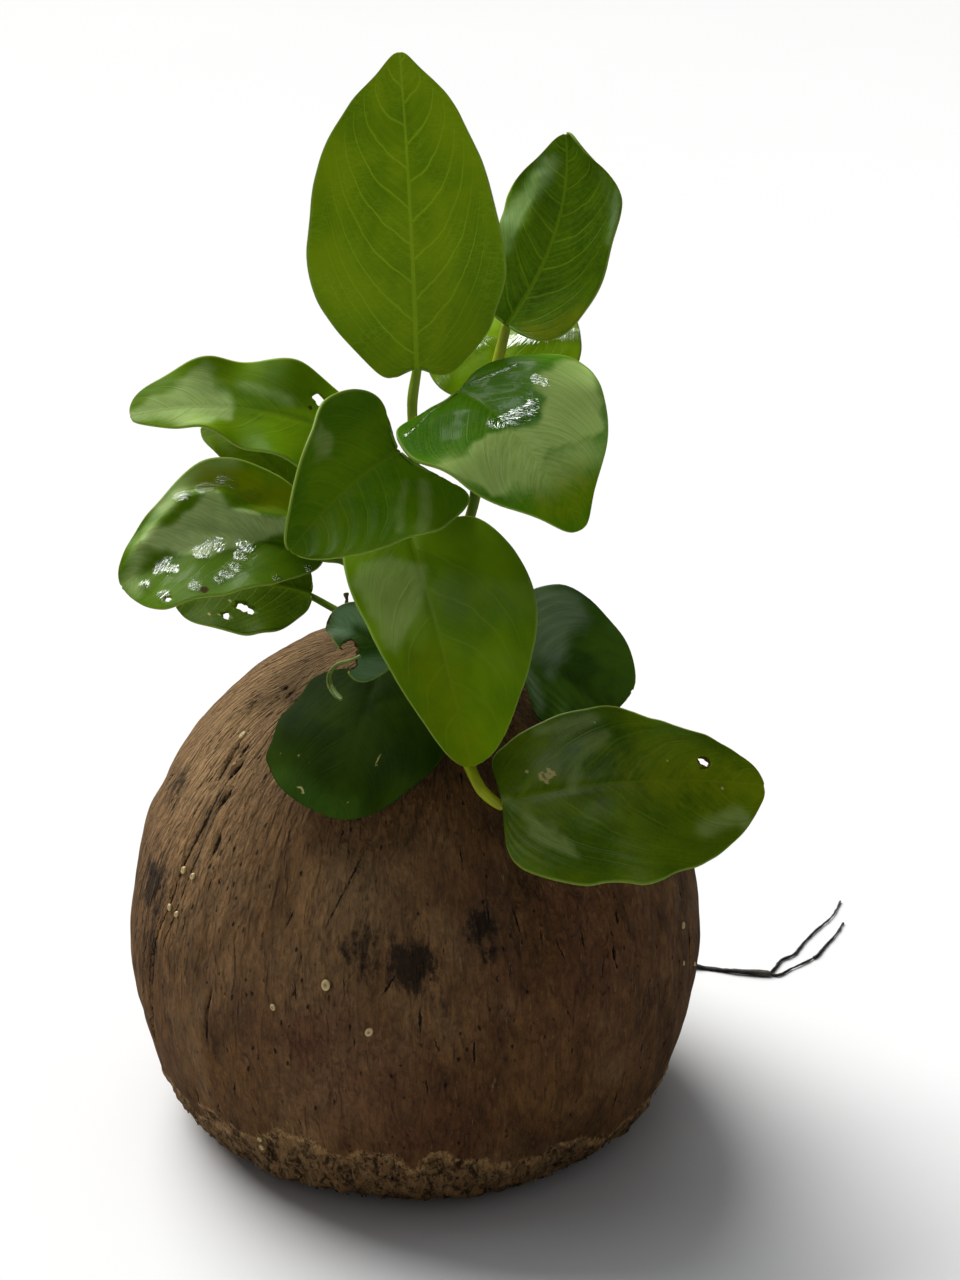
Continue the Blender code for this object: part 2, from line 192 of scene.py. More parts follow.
@dataclass(frozen=True)
class Relief:
    """Smooth unevenness that comes out the same on every run, by size of cell in millimetres."""

    seed: int
    height: float = 1.0
    cell: Triple = (1.0, 1.0, 1.0)
    layers: int = 2

    ODDS = (73856093, 19349663, 83492791)
    STIRS = ((13, 1274126177), (15, 374761393))

    def at(self, spots: Array) -> Array:
        """Unevenness at points.

        Args:
            spots: Points in cells of the pattern, one row each.

        Returns:
            Values between -1 and 1.
        """
        cell = np.floor(spots).astype(np.int64)
        part = spots - cell
        part = part * part * (3.0 - 2.0 * part)
        total = np.zeros(len(spots))
        for corner in itertools.product((0, 1), repeat=3):
            share = np.prod(np.where(np.array(corner) == 1, part, 1.0 - part), axis=1)
            code = (cell + np.array(corner)) @ np.array(self.ODDS) + self.seed * 7919
            for shift, factor in self.STIRS:
                code = (code ^ (code >> shift)) * factor
            total += share * (((code >> 9) & 0xFFFF) / 32767.5 - 1.0)
        return total

    def over(self, spots: Array) -> Array:
        """Unevenness with finer unevenness on top.

        Args:
            spots: Points, one row each.

        Returns:
            Heights.
        """
        spots = spots / self.cell
        fine = (self.at(spots * 2.0**n + 17.3 * n) * 0.5**n for n in range(self.layers))
        return self.height * sum(fine)


@dataclass(frozen=True)
class Route:
    """A smooth line through points in millimetres, with a radius at each."""

    points: tuple[Triple, ...]
    radii: tuple[float, ...]

    FINE_STEPS = 600

    def sample(self, count: int) -> tuple[Array, Array, Array]:
        """Read the line at even steps.

        Args:
            count: How many points to read.

        Returns:
            The points, the radius at each and the distance to each.
        """
        knots = np.array(self.points, float)
        steps = self.distances(knots)
        fine = np.linspace(0.0, steps[-1], self.FINE_STEPS)
        run = self.distances(smooth_through(steps, knots, fine))
        even = np.linspace(0.0, run[-1], count)
        places = np.interp(even, run, fine)
        radii = smooth_through(steps, np.array(self.radii, float), places)
        return smooth_through(steps, knots, places), radii, even

    @staticmethod
    def distances(points: Array) -> Array:
        """Distance along a bent line to each of its points."""
        lengths = np.linalg.norm(np.diff(points, axis=0), axis=1)
        return np.concatenate([[0.0], np.cumsum(lengths)])


def add_piece(
    bm: Mesh, name: str, finishes: list[Material], slot: str, stands_for: tuple[str, ...] = ()
) -> Piece:
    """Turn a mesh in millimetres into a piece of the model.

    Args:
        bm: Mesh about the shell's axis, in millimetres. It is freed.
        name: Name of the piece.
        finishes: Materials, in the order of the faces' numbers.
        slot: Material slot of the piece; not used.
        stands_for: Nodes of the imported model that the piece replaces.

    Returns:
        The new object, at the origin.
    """
    bmesh.ops.scale(bm, vec=(MM, MM, MM), verts=bm.verts[:])
    bmesh.ops.translate(bm, vec=AXIS, verts=bm.verts[:])
    for face in bm.faces:
        face.smooth = True
    mesh = bpy.data.meshes.new(name)
    bm.to_mesh(mesh)
    bm.free()
    piece = bpy.data.objects.new(name, mesh)
    for finish in finishes:
        mesh.materials.append(finish)
    bpy.context.scene.collection.objects.link(piece)
    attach(piece, "root")
    if stands_for:
        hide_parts(*stands_for)
    LOG.info("%s: %d faces", name, len(mesh.polygons))
    return piece


def bent_grid(bm: Mesh, columns: int, rows: int) -> tuple[list[bmesh.types.BMVert], Array, Array]:
    """Start a flat grid for bending.

    Args:
        bm: Mesh to add to.
        columns: Faces across.
        rows: Faces along.

    Returns:
        The points, their places across (-1 to 1) and along (0 to 1).
    """
    verts = bmesh.ops.create_grid(bm, x_segments=columns, y_segments=rows, size=1.0)["verts"]
    flat = np.array([vert.co for vert in verts])
    return verts, flat[:, 0], (flat[:, 1] + 1.0) / 2.0


def put(verts: list[bmesh.types.BMVert], spots: Array) -> None:
    """Move points to their places, one row each."""
    for vert, spot in zip(verts, spots.tolist()):
        vert.co = spot


def note(bm: Mesh, verts: list[bmesh.types.BMVert], notes: dict[str, Array]) -> None:
    """Write numbers and vectors on points, for the finish to read.

    Args:
        bm: Mesh that the points belong to. New layers make its old handles stale.
        verts: Points of the mesh.
        notes: One number or row per point, by name of attribute.
    """
    bm.verts.index_update()
    order = [vert.index for vert in verts]
    kinds = {name: "float_vector" if values.ndim > 1 else "float" for name, values in notes.items()}
    for name, kind in kinds.items():
        getattr(bm.verts.layers, kind).new(name)
    bm.verts.ensure_lookup_table()
    for name, values in notes.items():
        layer = getattr(bm.verts.layers, kinds[name])[name]
        for index, value in zip(order, values.tolist()):
            bm.verts[index][layer] = value


# Finishes


class Wire:
    """Output of a node, to reckon with as with a number or a place."""

    def __init__(self, recipe: "Recipe", socket: Socket) -> None:
        """Hold an output of a recipe."""
        self.recipe = recipe
        self.socket = socket

    def sum(self, how: str, *others: "Wire | float") -> "Wire":
        """Result of a Math node for this number and up to two more."""
        return self.recipe.node("Math", dict(enumerate((self, *others))), operation=how)

    def __add__(self, other: "Wire | float") -> "Wire":
        """This plus the other."""
        return self.sum("ADD", other)

    def __sub__(self, other: "Wire | float") -> "Wire":
        """This less the other."""
        return self.sum("SUBTRACT", other)

    def __mul__(self, other: "Wire | float") -> "Wire":
        """This times the other."""
        return self.sum("MULTIPLY", other)

    def __truediv__(self, other: "Wire | float") -> "Wire":
        """This over the other."""
        return self.sum("DIVIDE", other)

    def __abs__(self) -> "Wire":
        """This without its sign."""
        return self.sum("ABSOLUTE")

    def kept(self) -> "Wire":
        """This result, kept from 0 to 1."""
        self.socket.node.use_clamp = True
        return self

    def spread(self, reach: float) -> "Wire":
        """This share of 0 to 1, spread from -reach to reach."""
        return self.sum("MULTIPLY_ADD", 2.0 * reach, -reach)

    def step(self, low: float, high: float, start: float = 0.0, end: float = 1.0) -> "Wire":
        """Smooth step from start, where this is low, to end, where it is high."""
        inputs = dict(enumerate((self, low, high, start, end)))
        return self.recipe.node("MapRange", inputs, interpolation_type="SMOOTHSTEP")

    def fall(self, low: float, high: float) -> "Wire":
        """Smooth step down from 1 to 0."""
        return self.step(low, high, 1.0, 0.0)

    def part(self, index: int) -> "Wire":
        """One number of this vector."""
        return self.recipe.node("SeparateXYZ", {0: self}, index)

    def stretched(self, scale: Triple, turn: float = 0.0) -> "Wire":
        """This place scaled along its axes, after a turn about the upright one."""
        inputs = {"Vector": self, "Rotation": (0.0, 0.0, turn), "Scale": scale}
        return self.recipe.node("Mapping", inputs)

    def noise(
        self,
        scale: float | Triple,
        detail: float = 3.0,
        rough: float = 0.5,
        swirl: float = 0.0,
    ) -> "Wire":
        """Soft noise read at this place.

        Args:
            scale: Cells per unit, all ways or along each axis.
            detail: Finer layers.
            rough: Strength of the finer layers.
            swirl: Distortion.

        Returns:
            Number about 0.5.
        """
        place, cells = (self.stretched(scale), 1.0) if isinstance(scale, tuple) else (self, scale)
        inputs = {"Vector": place, "Scale": cells, "Detail": detail, "Roughness": rough}
        return self.recipe.node("TexNoise", inputs | {"Distortion": swirl})

    def cells(self, scale: Triple, feature: str, jitter: float = 1.0) -> "Wire":
        """Distance in cells: F1 to their centres, DISTANCE_TO_EDGE to their borders."""
        inputs = {"Vector": self.stretched(scale), "Scale": 1.0, "Randomness": jitter}
        return self.recipe.node("TexVoronoi", inputs, "Distance", feature=feature)

    def bump(self, deep: float, strength: float = 1.0, under: "Wire | None" = None) -> "Wire":
        """Relief with this as its height; deep is the height of 1, in millimetres."""
        inputs = {"Height": self, "Distance": deep * MM, "Strength": strength}
        return self.recipe.node("Bump", inputs | ({"Normal": under} if under else {}))


class Recipe:
    """A material as it is mixed, node by node."""

    def __init__(self, name: str) -> None:
        """Start a material.

        Args:
            name: Name of the material.
        """
        self.material = bpy.data.materials.new(name)
        self.material.use_nodes = True
        self.tree = self.material.node_tree
        self.shader = self.tree.nodes["Principled BSDF"]

    def node(self, kind: str, inputs: dict, output: str | int = 0, **settings: object) -> Wire:
        """Add a node.

        Args:
            kind: Name of the node's type without its prefix.
            inputs: Number, colour, vector or wire for each input.
            output: Output to hold.
            settings: Properties of the node.

        Returns:
            The output.
        """
        made = self.tree.nodes.new("ShaderNode" + kind)
        for name, setting in settings.items():
            setattr(made, name, setting)
        for name, value in inputs.items():
            self.feed(made.inputs[name], value)
        return Wire(self, made.outputs[output])

    def feed(self, socket: Socket, value: Wire | float | tuple) -> None:
        """Set an input or link it.

        Args:
            socket: Input to fill.
            value: A number, a colour, a vector or another node's output.
        """
        if isinstance(value, Wire):
            self.tree.links.new(value.socket, socket)
        else:
            socket.default_value = (*value, 1.0) if socket.type == "RGBA" else value

    def noted(self, name: str, kind: str = "Fac") -> Wire:
        """Number that was noted on the mesh, or vector where kind says so."""
        return self.node("Attribute", {}, kind, attribute_name=name)

    def place(self) -> Wire:
        """Place on the object, in metres."""
        return self.node("TexCoord", {}, "Object")

    def coats(self, colour: Wire | Colour, *coats: tuple[Wire, Wire | Colour]) -> Wire:
        """Lay coats of colour on one another.

        Args:
            colour: Colour at the bottom.
            coats: Share and colour of each coat.

        Returns:
            The colour on top.
        """
        for share, tone in coats:
            colour = self.node("Mix", {0: share, 6: colour, 7: tone}, 2, data_type="RGBA")
        return colour

    def done(self, colour: Wire, rough: Wire, normal: Wire, **uniform: float) -> Material:
        """Join the parts to the shader.

        Args:
            colour: Base colour.
            rough: Roughness.
            normal: Normal.
            uniform: Values that are the same all over, by input name with _ for space.

        Returns:
            The finished material.
        """
        parts = {"Base Color": colour, "Roughness": rough, "Normal": normal}
        parts |= {name.replace("_", " "): value for name, value in uniform.items()}
        for name, value in parts.items():
            self.feed(self.shader.inputs[name], value)
        return self.material


@dataclass(frozen=True)
class LeafFinish:
    """Living leaf: body colour, veins, painted sheen, scars and gloss. Depths in millimetres."""

    name: str
    body: Colour
    deep: Colour
    vein: Colour
    margin: Colour = tint(128, 158, 62)
    film: Colour = tint(150, 170, 98)
    blush: Colour = tint(128, 140, 0)
    bitten: Colour = tint(178, 166, 106)
    burnt: Colour = tint(62, 38, 6)
    burnt_under: Colour = tint(92, 62, 18)
    vein_show: float = 0.6
    net_show: float = 0.15
    roughness: float = 0.35
    shine: float = 0.3
    glow: float = 0.25
    painted_sheen_share: float = 0.5
    wet_share: float = 0.03
    vein_depth: float = 0.07
    skin_depth: float = 0.015
    wrinkle_depth: float = 0.3
    coat_depth: float = 0.55
    coat_roughness: float = 0.05
    coat_ior: float = 2.5

    def material(self) -> Material:
        """Mix the upper side's material."""
        mix = Recipe(self.name)
        leaf, edge = mix.noted("leaf", "Vector"), mix.noted("edge")
        flow = self.flow(leaf)
        wide = leaf.noise((0.11, 0.07, 1.0), 3.0, 0.5, 0.4)
        fine = leaf.noise(1.6, 4.0, 0.6)
        cross = flow.noise((0.22, 1.6, 1.0), 4.0, 0.6)
        streak = flow.noise((0.35, 1.1, 1.0), 5.0, 0.6, 0.5)
        main, lesser, net = self.veins(leaf, edge)
        lines = main * self.vein_show + net * self.net_show + lesser * (self.vein_show * 0.16)
        # Painted sheen: pale colour, broken into streaks, that stands in for the sky's reflection
        # on the wet blade
        film = self.worn(leaf, "film", 0.35, 0.22, 0.4)
        blush = self.worn(leaf, "blush", 0.35, 0.3, 0.4)
        pale = self.worn(leaf, "pale", 3.0, 0.35)
        scar = self.worn(leaf, "scar", 2.2, 0.3)
        colour = mix.coats(
            self.body,
            (wide.step(0.32, 0.7), self.deep),
            (cross.step(0.35, 0.75, 0.0, 0.22), self.vein),
            (cross.step(0.25, 0.5, 0.25, 0.0), self.deep),
            (fine.step(0.3, 0.75, 0.0, 0.14), self.vein),
            (lines.kept(), self.vein),
            (film * streak.step(0.3, 0.7, self.painted_sheen_share * 0.62, self.painted_sheen_share), self.film),
            (blush * 0.8, self.blush),
            (edge.step(0.968, 0.995) * 0.75, self.margin),
            (pale * 0.85, self.bitten),
            (scar * 0.9, self.burnt),
        )
        rough = fine.step(0.2, 0.8, self.roughness - 0.04, self.roughness + 0.06) + film * 0.14
        rough = (rough + scar.sum("MAXIMUM", pale) * 0.3).kept()
        wet = self.worn(leaf, "wet", 0.4, 0.2, 0.3) * self.wet_share
        wet = wet.sum("MAXIMUM", self.worn(leaf, "wrinkle", 0.6, 0.5, 0.15))
        normal = self.relief(leaf, flow, main, lesser, net)
        return mix.done(
            colour, rough, normal, Coat_Weight=wet, Coat_Roughness=self.coat_roughness,
            Coat_IOR=self.coat_ior, Subsurface_Weight=self.glow, Subsurface_Scale=MM, IOR=LEAF_IOR,
            Specular_IOR_Level=self.shine,
        )

    def underside(self) -> Material:
        """Mix the lower side's material, paler and matt, with raised veins."""
        mix = Recipe(self.name + " underside")
        leaf, edge = mix.noted("leaf", "Vector"), mix.noted("edge")
        pale = tuple(part * 1.15 + 0.02 for part in self.body)
        main, lesser, net = self.veins(leaf, edge)
        colour = mix.coats(
            pale,
            (leaf.noise(0.25, 4.0).step(0.3, 0.7), self.deep),
            (main * 0.7, self.vein),
            (net * 0.3, self.vein),
            (self.worn(leaf, "scar", 2.2, 0.3) * 0.8, self.burnt_under),
        )
        rough = leaf.noise(1.1, 3.0).step(0.2, 0.8, 0.42, 0.56)
        normal = self.relief(leaf, self.flow(leaf), main, lesser, net)
        return mix.done(
            colour, rough, normal, Subsurface_Weight=self.glow, Subsurface_Scale=MM, IOR=LEAF_IOR
        )

    @staticmethod
    def flow(leaf: Wire) -> Wire:
        """Place beside the midrib and from vein to vein, for patterns that follow the veins."""
        inputs = {0: leaf.part(0), 1: leaf.recipe.noted("rib") * 6.0, 2: leaf.part(2)}
        return leaf.recipe.node("CombineXYZ", inputs)

    @staticmethod
    def worn(leaf: Wire, name: str, scale: float, ragged: float, soft: float = 0.12) -> Wire:
        """A noted mask with a ragged edge.

        Args:
            leaf: Place on the leaf, in millimetres.
            name: Name of the mask.
            scale: Size of the ragged edge, in cells a millimetre.
            ragged: How far the edge strays.
            soft: Half of the share over which it fades.

        Returns:
            Share from 0 to 1.
        """
        mask = leaf.recipe.noted(name)
        edge = mask + leaf.noise(scale, 4.0, 0.6).spread(ragged)
        return edge.step(0.5 - soft, 0.5 + soft) * mask.step(0.02, 0.2)

    @staticmethod
    def veins(leaf: Wire, edge: Wire) -> tuple[Wire, Wire, Wire]:
        """Veins drawn from the places noted on the leaf.

        Args:
            leaf: Place on the leaf, in millimetres.
            edge: Share of the way from midrib to margin.

        Returns:
            Midrib with main veins, lesser veins, and the fine net between them.
        """
        noted = leaf.recipe.noted
        phase = noted("rib") + leaf.noise(0.22, 2.0).spread(0.15)
        main = abs(phase.sum("FRACT") - 0.5).fall(0.018, 0.06) * edge.fall(0.7, 0.93)
        midrib = (abs(leaf.part(0)) - noted("rib_width")).fall(0.0, 0.22)
        lesser = abs((phase * 3.0).sum("FRACT") - 0.5).fall(0.03, 0.16) * edge.fall(0.8, 0.97)
        net = leaf.cells((0.42, 1.15, 1.0), "DISTANCE_TO_EDGE", 0.9).fall(0.015, 0.11)
        net = net * leaf.noise(0.15, 2.0).step(0.35, 0.6)
        return main.sum("MAXIMUM", midrib), lesser, net

    def relief(self, leaf: Wire, flow: Wire, main: Wire, lesser: Wire, net: Wire) -> Wire:
        """Relief of the veins, the skin and the wrinkles, which are deeper in the wet coat.

        Args:
            leaf: Place on the leaf, in millimetres.
            flow: Place beside the midrib and from vein to vein.
            main: Main veins.
            lesser: Lesser veins.
            net: Fine net.

        Returns:
            The normal.
        """
        mix = leaf.recipe
        normal = (main * 0.6 + lesser * 0.12 + net * 0.1).bump(self.vein_depth, 0.5)
        normal = leaf.noise(5.0, 3.0, 0.6).bump(self.skin_depth, 0.5, normal)
        swirl = flow.noise((0.36, 1.1, 1.0), 1.5, 0.5, 1.0)
        wrinkle = mix.noted("wrinkle").step(0.1, 0.9) * swirl
        mix.feed(mix.shader.inputs["Coat Normal"], wrinkle.bump(self.coat_depth, 1.0, normal))
        return wrinkle.bump(self.wrinkle_depth, 1.0, normal)


@dataclass(frozen=True)
class StalkFinish:
    """Leaf stalk: smooth skin with fine lengthwise lines."""

    name: str
    body: Colour
    deep: Colour
    foot: Colour = tint(88, 78, 34)
    roughness: float = 0.35

    def material(self) -> Material:
        """Mix the material."""
        mix = Recipe(self.name)
        grain = mix.noted("grain", "Vector")
        lines = grain.noise((1.4, 1.4, 0.08), 4.0, 0.6)
        colour = mix.coats(
            self.body,
            (grain.noise((0.3, 0.3, 0.12)).step(0.3, 0.7), self.deep),
            (lines.step(0.35, 0.75, 0.0, 0.5), self.deep),
            (mix.noted("foot").step(0.1, 0.9, 0.0, 0.6), self.foot),
        )
        rough = lines.step(0.2, 0.8, self.roughness - 0.06, self.roughness + 0.1)
        normal = lines.bump(0.08, 0.7)
        return mix.done(
            colour, rough, normal, Subsurface_Weight=0.2, Subsurface_Scale=MM, IOR=LEAF_IOR
        )


@dataclass(frozen=True)
class BarkFinish:
    """Rhizome or root: skin with rings, scars and darker hollows."""

    name: str
    body: Colour
    deep: Colour
    tip: Colour
    roughness: float = 0.6

    def material(self) -> Material:
        """Mix the material."""
        mix = Recipe(self.name)
        grain = mix.noted("grain", "Vector")
        patch = grain.noise(0.5, 5.0, 0.6)
        rings = grain.noise((0.15, 0.15, 1.5), 4.0, 0.6, 0.4)
        fine = grain.noise(3.0, 3.0, 0.6)
        colour = mix.coats(
            self.body,
            (patch.step(0.3, 0.7), self.deep),
            (rings.step(0.5, 0.72, 0.0, 0.7), self.deep),
            (fine.step(0.55, 0.8, 0.0, 0.35), self.tip),
            (mix.noted("tip"), self.tip),
        )
        rough = patch.step(0.2, 0.8, self.roughness - 0.1, self.roughness + 0.15)
        return mix.done(colour, rough, (rings * 0.7 + fine * 0.3).bump(0.3, 0.8))


@dataclass(frozen=True)
class HuskFinish:
    """Outside of the shell: leathery, folded, pitted and stained dry husk, with painted light and
    shade on its relief and in its hollows.
    """

    name: str
    dark: Colour = tint(84, 57, 30)
    brown: Colour = tint(118, 82, 44)
    tan: Colour = tint(170, 136, 92)
    ruddy: Colour = tint(96, 56, 38)
    # Near black of the dark stains and streaks, and painted shade in the pits and grooves
    soot_and_hollow_shade: Colour = tint(18, 12, 6)
    # Band tones; the last darkens the band along the floor as painted shade
    rim_tones_and_floor_shade: tuple[Colour, ...] = (
        tint(60, 43, 25), tint(180, 136, 86), tint(196, 160, 108), tint(16, 11, 6), tint(28, 21, 13)
    )
    husk_depth: float = 1.7
    groove_depth: float = 0.8

    def material(self) -> Material:
        """Mix the material."""
        mix = Recipe(self.name)
        grain = mix.noted("grain", "Vector")
        paler_and_painted_light, smudged = mix.noted("bleach"), mix.noted("smudge")
        patch = grain.noise((0.06, 0.06, 0.04), 4.0, 0.55, 0.3)
        broad = grain.noise((0.16, 0.16, 0.08), 5.0, 0.6, 0.6)
        fibre = grain.noise((1.1, 1.1, 0.24), 6.0, 0.62, 0.6)
        leather = grain.noise((0.6, 0.6, 0.4), 6.0, 0.65, 0.8)
        speck = grain.noise((2.4, 2.4, 1.4), 4.0, 0.7)
        streak = grain.noise((1.5, 1.5, 0.3), 3.0, 0.6, 0.9)
        ragged = grain.noise((0.45, 0.45, 0.22), 6.0, 0.75).spread(1.2)
        smudge = (smudged + ragged).step(0.2, 0.75) * smudged.step(0.05, 0.4)
        fold, pits = self.folds(grain), self.pits(grain, paler_and_painted_light)
        groove, lip = self.grooves(grain)
        lip = lip * paler_and_painted_light.step(0.05, 0.6, 0.2, 0.8)
        colour = mix.coats(
            self.dark,
            (broad.step(0.3, 0.66), self.brown),
            (patch.step(0.5, 0.75, 0.0, 0.3), self.tan),
            # Paler patches turn tan: partly the husk's paler tone, partly painted light
            (paler_and_painted_light * leather.step(0.2, 0.55, 0.55, 1.0), self.tan),
            (mix.noted("ruddy") * patch.step(0.25, 0.6), self.ruddy),
        )
        # Lightness follows the fibre and leather noise of the relief: partly the husk's grain,
        # partly painted light and shade of that relief. The fold valleys are darkened as painted
        # shade.
        light = fibre.step(0.36, 0.64, 0.4, 0.64) + leather.step(0.34, 0.66, 0.42, 0.7)
        light = light - fold * 0.16
        grain_and_relief_shade = mix.node("CombineColor", {0: light, 1: light, 2: light})
        shaded = {0: 1.0, 6: colour, 7: grain_and_relief_shade}
        colour = mix.coats(
            mix.node("Mix", shaded, 2, data_type="RGBA", blend_type="MULTIPLY"),
            (streak.step(0.6, 0.74, 0.0, 0.4), self.tan),
            (streak.step(0.27, 0.38, 0.55, 0.0), self.soot_and_hollow_shade),
            (smudge * 0.84, self.soot_and_hollow_shade),
            self.rim(grain, speck),
            # Pits and grooves painted near black: painted shade in the hollows
            (pits * 0.85, self.soot_and_hollow_shade),
            # Raised lips beside the grooves painted tan: painted highlight
            (lip, self.tan),
            (groove * 0.9, self.soot_and_hollow_shade),
        )
        height = fibre * 0.35 + leather + speck * 0.2 - pits * 0.4 - fold * 0.8
        normal = (lip * 0.5 - groove).bump(self.groove_depth, 1.0, height.bump(self.husk_depth))
        rough = speck.step(0.2, 0.8, 0.7, 0.92)
        return mix.done(colour, rough, normal, IOR=1.4, Specular_IOR_Level=0.25)

    @staticmethod
    def folds(grain: Wire) -> Wire:
        """Share of the narrow wavy valleys between smooth swells, by place on the husk."""
        where = grain.noise((0.13, 0.13, 0.09))
        swell = grain.noise((0.3, 0.3, 0.08), 3.0, 0.5, 0.3)
        other = grain.stretched((0.5, 0.5, 0.16), 1.0).noise(1.0, 3.0, 0.5, 0.3)
        first = abs(swell - 0.5).fall(0.0, 0.14) * where.step(0.4, 0.55)
        second = abs(other - 0.5).fall(0.0, 0.16) * where.fall(0.35, 0.55)
        return second.sum("MULTIPLY_ADD", 0.7, first * 0.9).kept()

    @staticmethod
    def pits(grain: Wire, paler_and_painted_light: Wire) -> Wire:
        """Small holes that are longer up and down the husk.

        Args:
            grain: Place on the husk, in millimetres.
            paler_and_painted_light: Share of the paler patches, partly painted light, where there
                are more and larger holes.

        Returns:
            Share from 0 to 1.
        """
        node = grain.recipe.node
        bent = node("TexNoise", {"Vector": grain, "Scale": 0.8, "Detail": 2.0}, "Color")
        bent = node("VectorMath", {0: bent, 1: grain}, operation="ADD")
        size = paler_and_painted_light.sum("MULTIPLY_ADD", 0.1, 0.13)
        pits = (bent.cells((0.5, 0.5, 0.25), "F1") / size).fall(0.6, 1.3)
        return pits * grain.noise((0.1, 0.1, 0.07)).step(0.42, 0.56).sum("MAXIMUM", paler_and_painted_light)

    @staticmethod
    def grooves(grain: Wire) -> tuple[Wire, Wire]:
        """Grooves and slots along the lines noted on the husk.

        Args:
            grain: Place on the husk, in millimetres.

        Returns:
            Share of groove, and share of the raised lip beside it.
        """
        noted = grain.recipe.noted
        off = abs(noted("groove_side") + grain.noise(0.9, 4.0, 0.6).spread(0.5) * 0.7)
        share = off / noted("groove_width").sum("MAXIMUM", 0.02)
        gap = grain.noise((0.6, 0.6, 0.34), 3.0, 0.6).step(0.4, 0.5, 0.25, 1.0)
        near = noted("groove_near").step(0.25, 0.5) * gap
        beside = share.step(0.9, 1.3) * share.fall(1.8, 3.0)
        broken = grain.noise(0.7, 3.0, 0.6).step(0.42, 0.58)
        return share.fall(0.6, 1.1) * near, beside * broken * near

    def rim(self, grain: Wire, speck: Wire) -> tuple[Wire, Wire]:
        """Mottled, frayed band at the bottom, darkened along the floor as painted shade.

        Args:
            grain: Place on the husk, in millimetres.
            speck: Fine noise.

        Returns:
            Share of the band and its colour.
        """
        mottle = grain.noise((0.4, 0.4, 0.3), 6.0, 0.75, 0.8)
        flake = grain.noise((0.9, 0.9, 0.5), 6.0, 0.8, 0.5)
        low = grain.recipe.noted("rim")
        shares = (
            mottle.step(0.4, 0.58),
            flake.step(0.5, 0.6, 0.0, 0.85),
            speck.step(0.3, 0.46, 0.8, 0.0),
            # Darkest where the band meets the floor: painted shade
            low.step(0.88, 1.0, 0.0, 0.4),
        )
        tone = grain.recipe.coats(self.rim_tones_and_floor_shade[0], *zip(shares, self.rim_tones_and_floor_shade[1:]))
        return (low + flake.spread(0.6)).step(0.3, 0.7) * 0.9, tone


@dataclass(frozen=True)
class InnerFinish:
    """Inside of the shell: dark, smooth and faintly streaked."""

    name: str
    tones: tuple[Colour, ...] = (tint(58, 38, 24), tint(92, 64, 42), tint(40, 26, 16))

    def material(self) -> Material:
        """Mix the material."""
        mix = Recipe(self.name)
        grain = mix.noted("grain", "Vector")
        fine = grain.noise((1.2, 1.2, 0.3), 4.0, 0.6)
        shares = grain.noise((0.2, 0.2, 0.05), 4.0).step(0.3, 0.7), fine.step(0.4, 0.8, 0.0, 0.5)
        colour = mix.coats(self.tones[0], *zip(shares, self.tones[1:]))
        return mix.done(colour, fine.step(0.2, 0.8, 0.45, 0.7), fine.bump(0.25, 0.7))


@dataclass(frozen=True)
class ScrapFinish:
    """Small dry or pale scraps whose tone changes from one to the next."""

    name: str
    light: Colour
    dark: Colour
    roughness: float = 0.8

    def material(self) -> Material:
        """Mix the material."""
        mix = Recipe(self.name)
        fine = mix.place().noise(1400.0, 4.0, 0.6)
        tone = (mix.noted("tone") + fine.spread(0.25)).kept()
        rough = fine.step(0.2, 0.8, self.roughness - 0.12, self.roughness + 0.1)
        return mix.done(mix.coats(self.dark, (tone, self.light)), rough, fine.bump(0.1, 0.6))


@dataclass(frozen=True)
class FloorFinish:
    """Pale studio floor with the faintest unevenness."""

    name: str
    colour: Colour = (0.8, 0.8, 0.8)

    def material(self) -> Material:
        """Mix the material."""
        mix = Recipe(self.name)
        cloud = mix.place().noise(2.0, 2.0)
        shade = tuple(part * 0.985 for part in self.colour)
        colour = mix.coats(self.colour, (cloud.step(0.3, 0.7), shade))
        return mix.done(colour, cloud.step(0.3, 0.7, 0.85, 0.95), cloud.bump(0.1, 0.1))


# Tubes


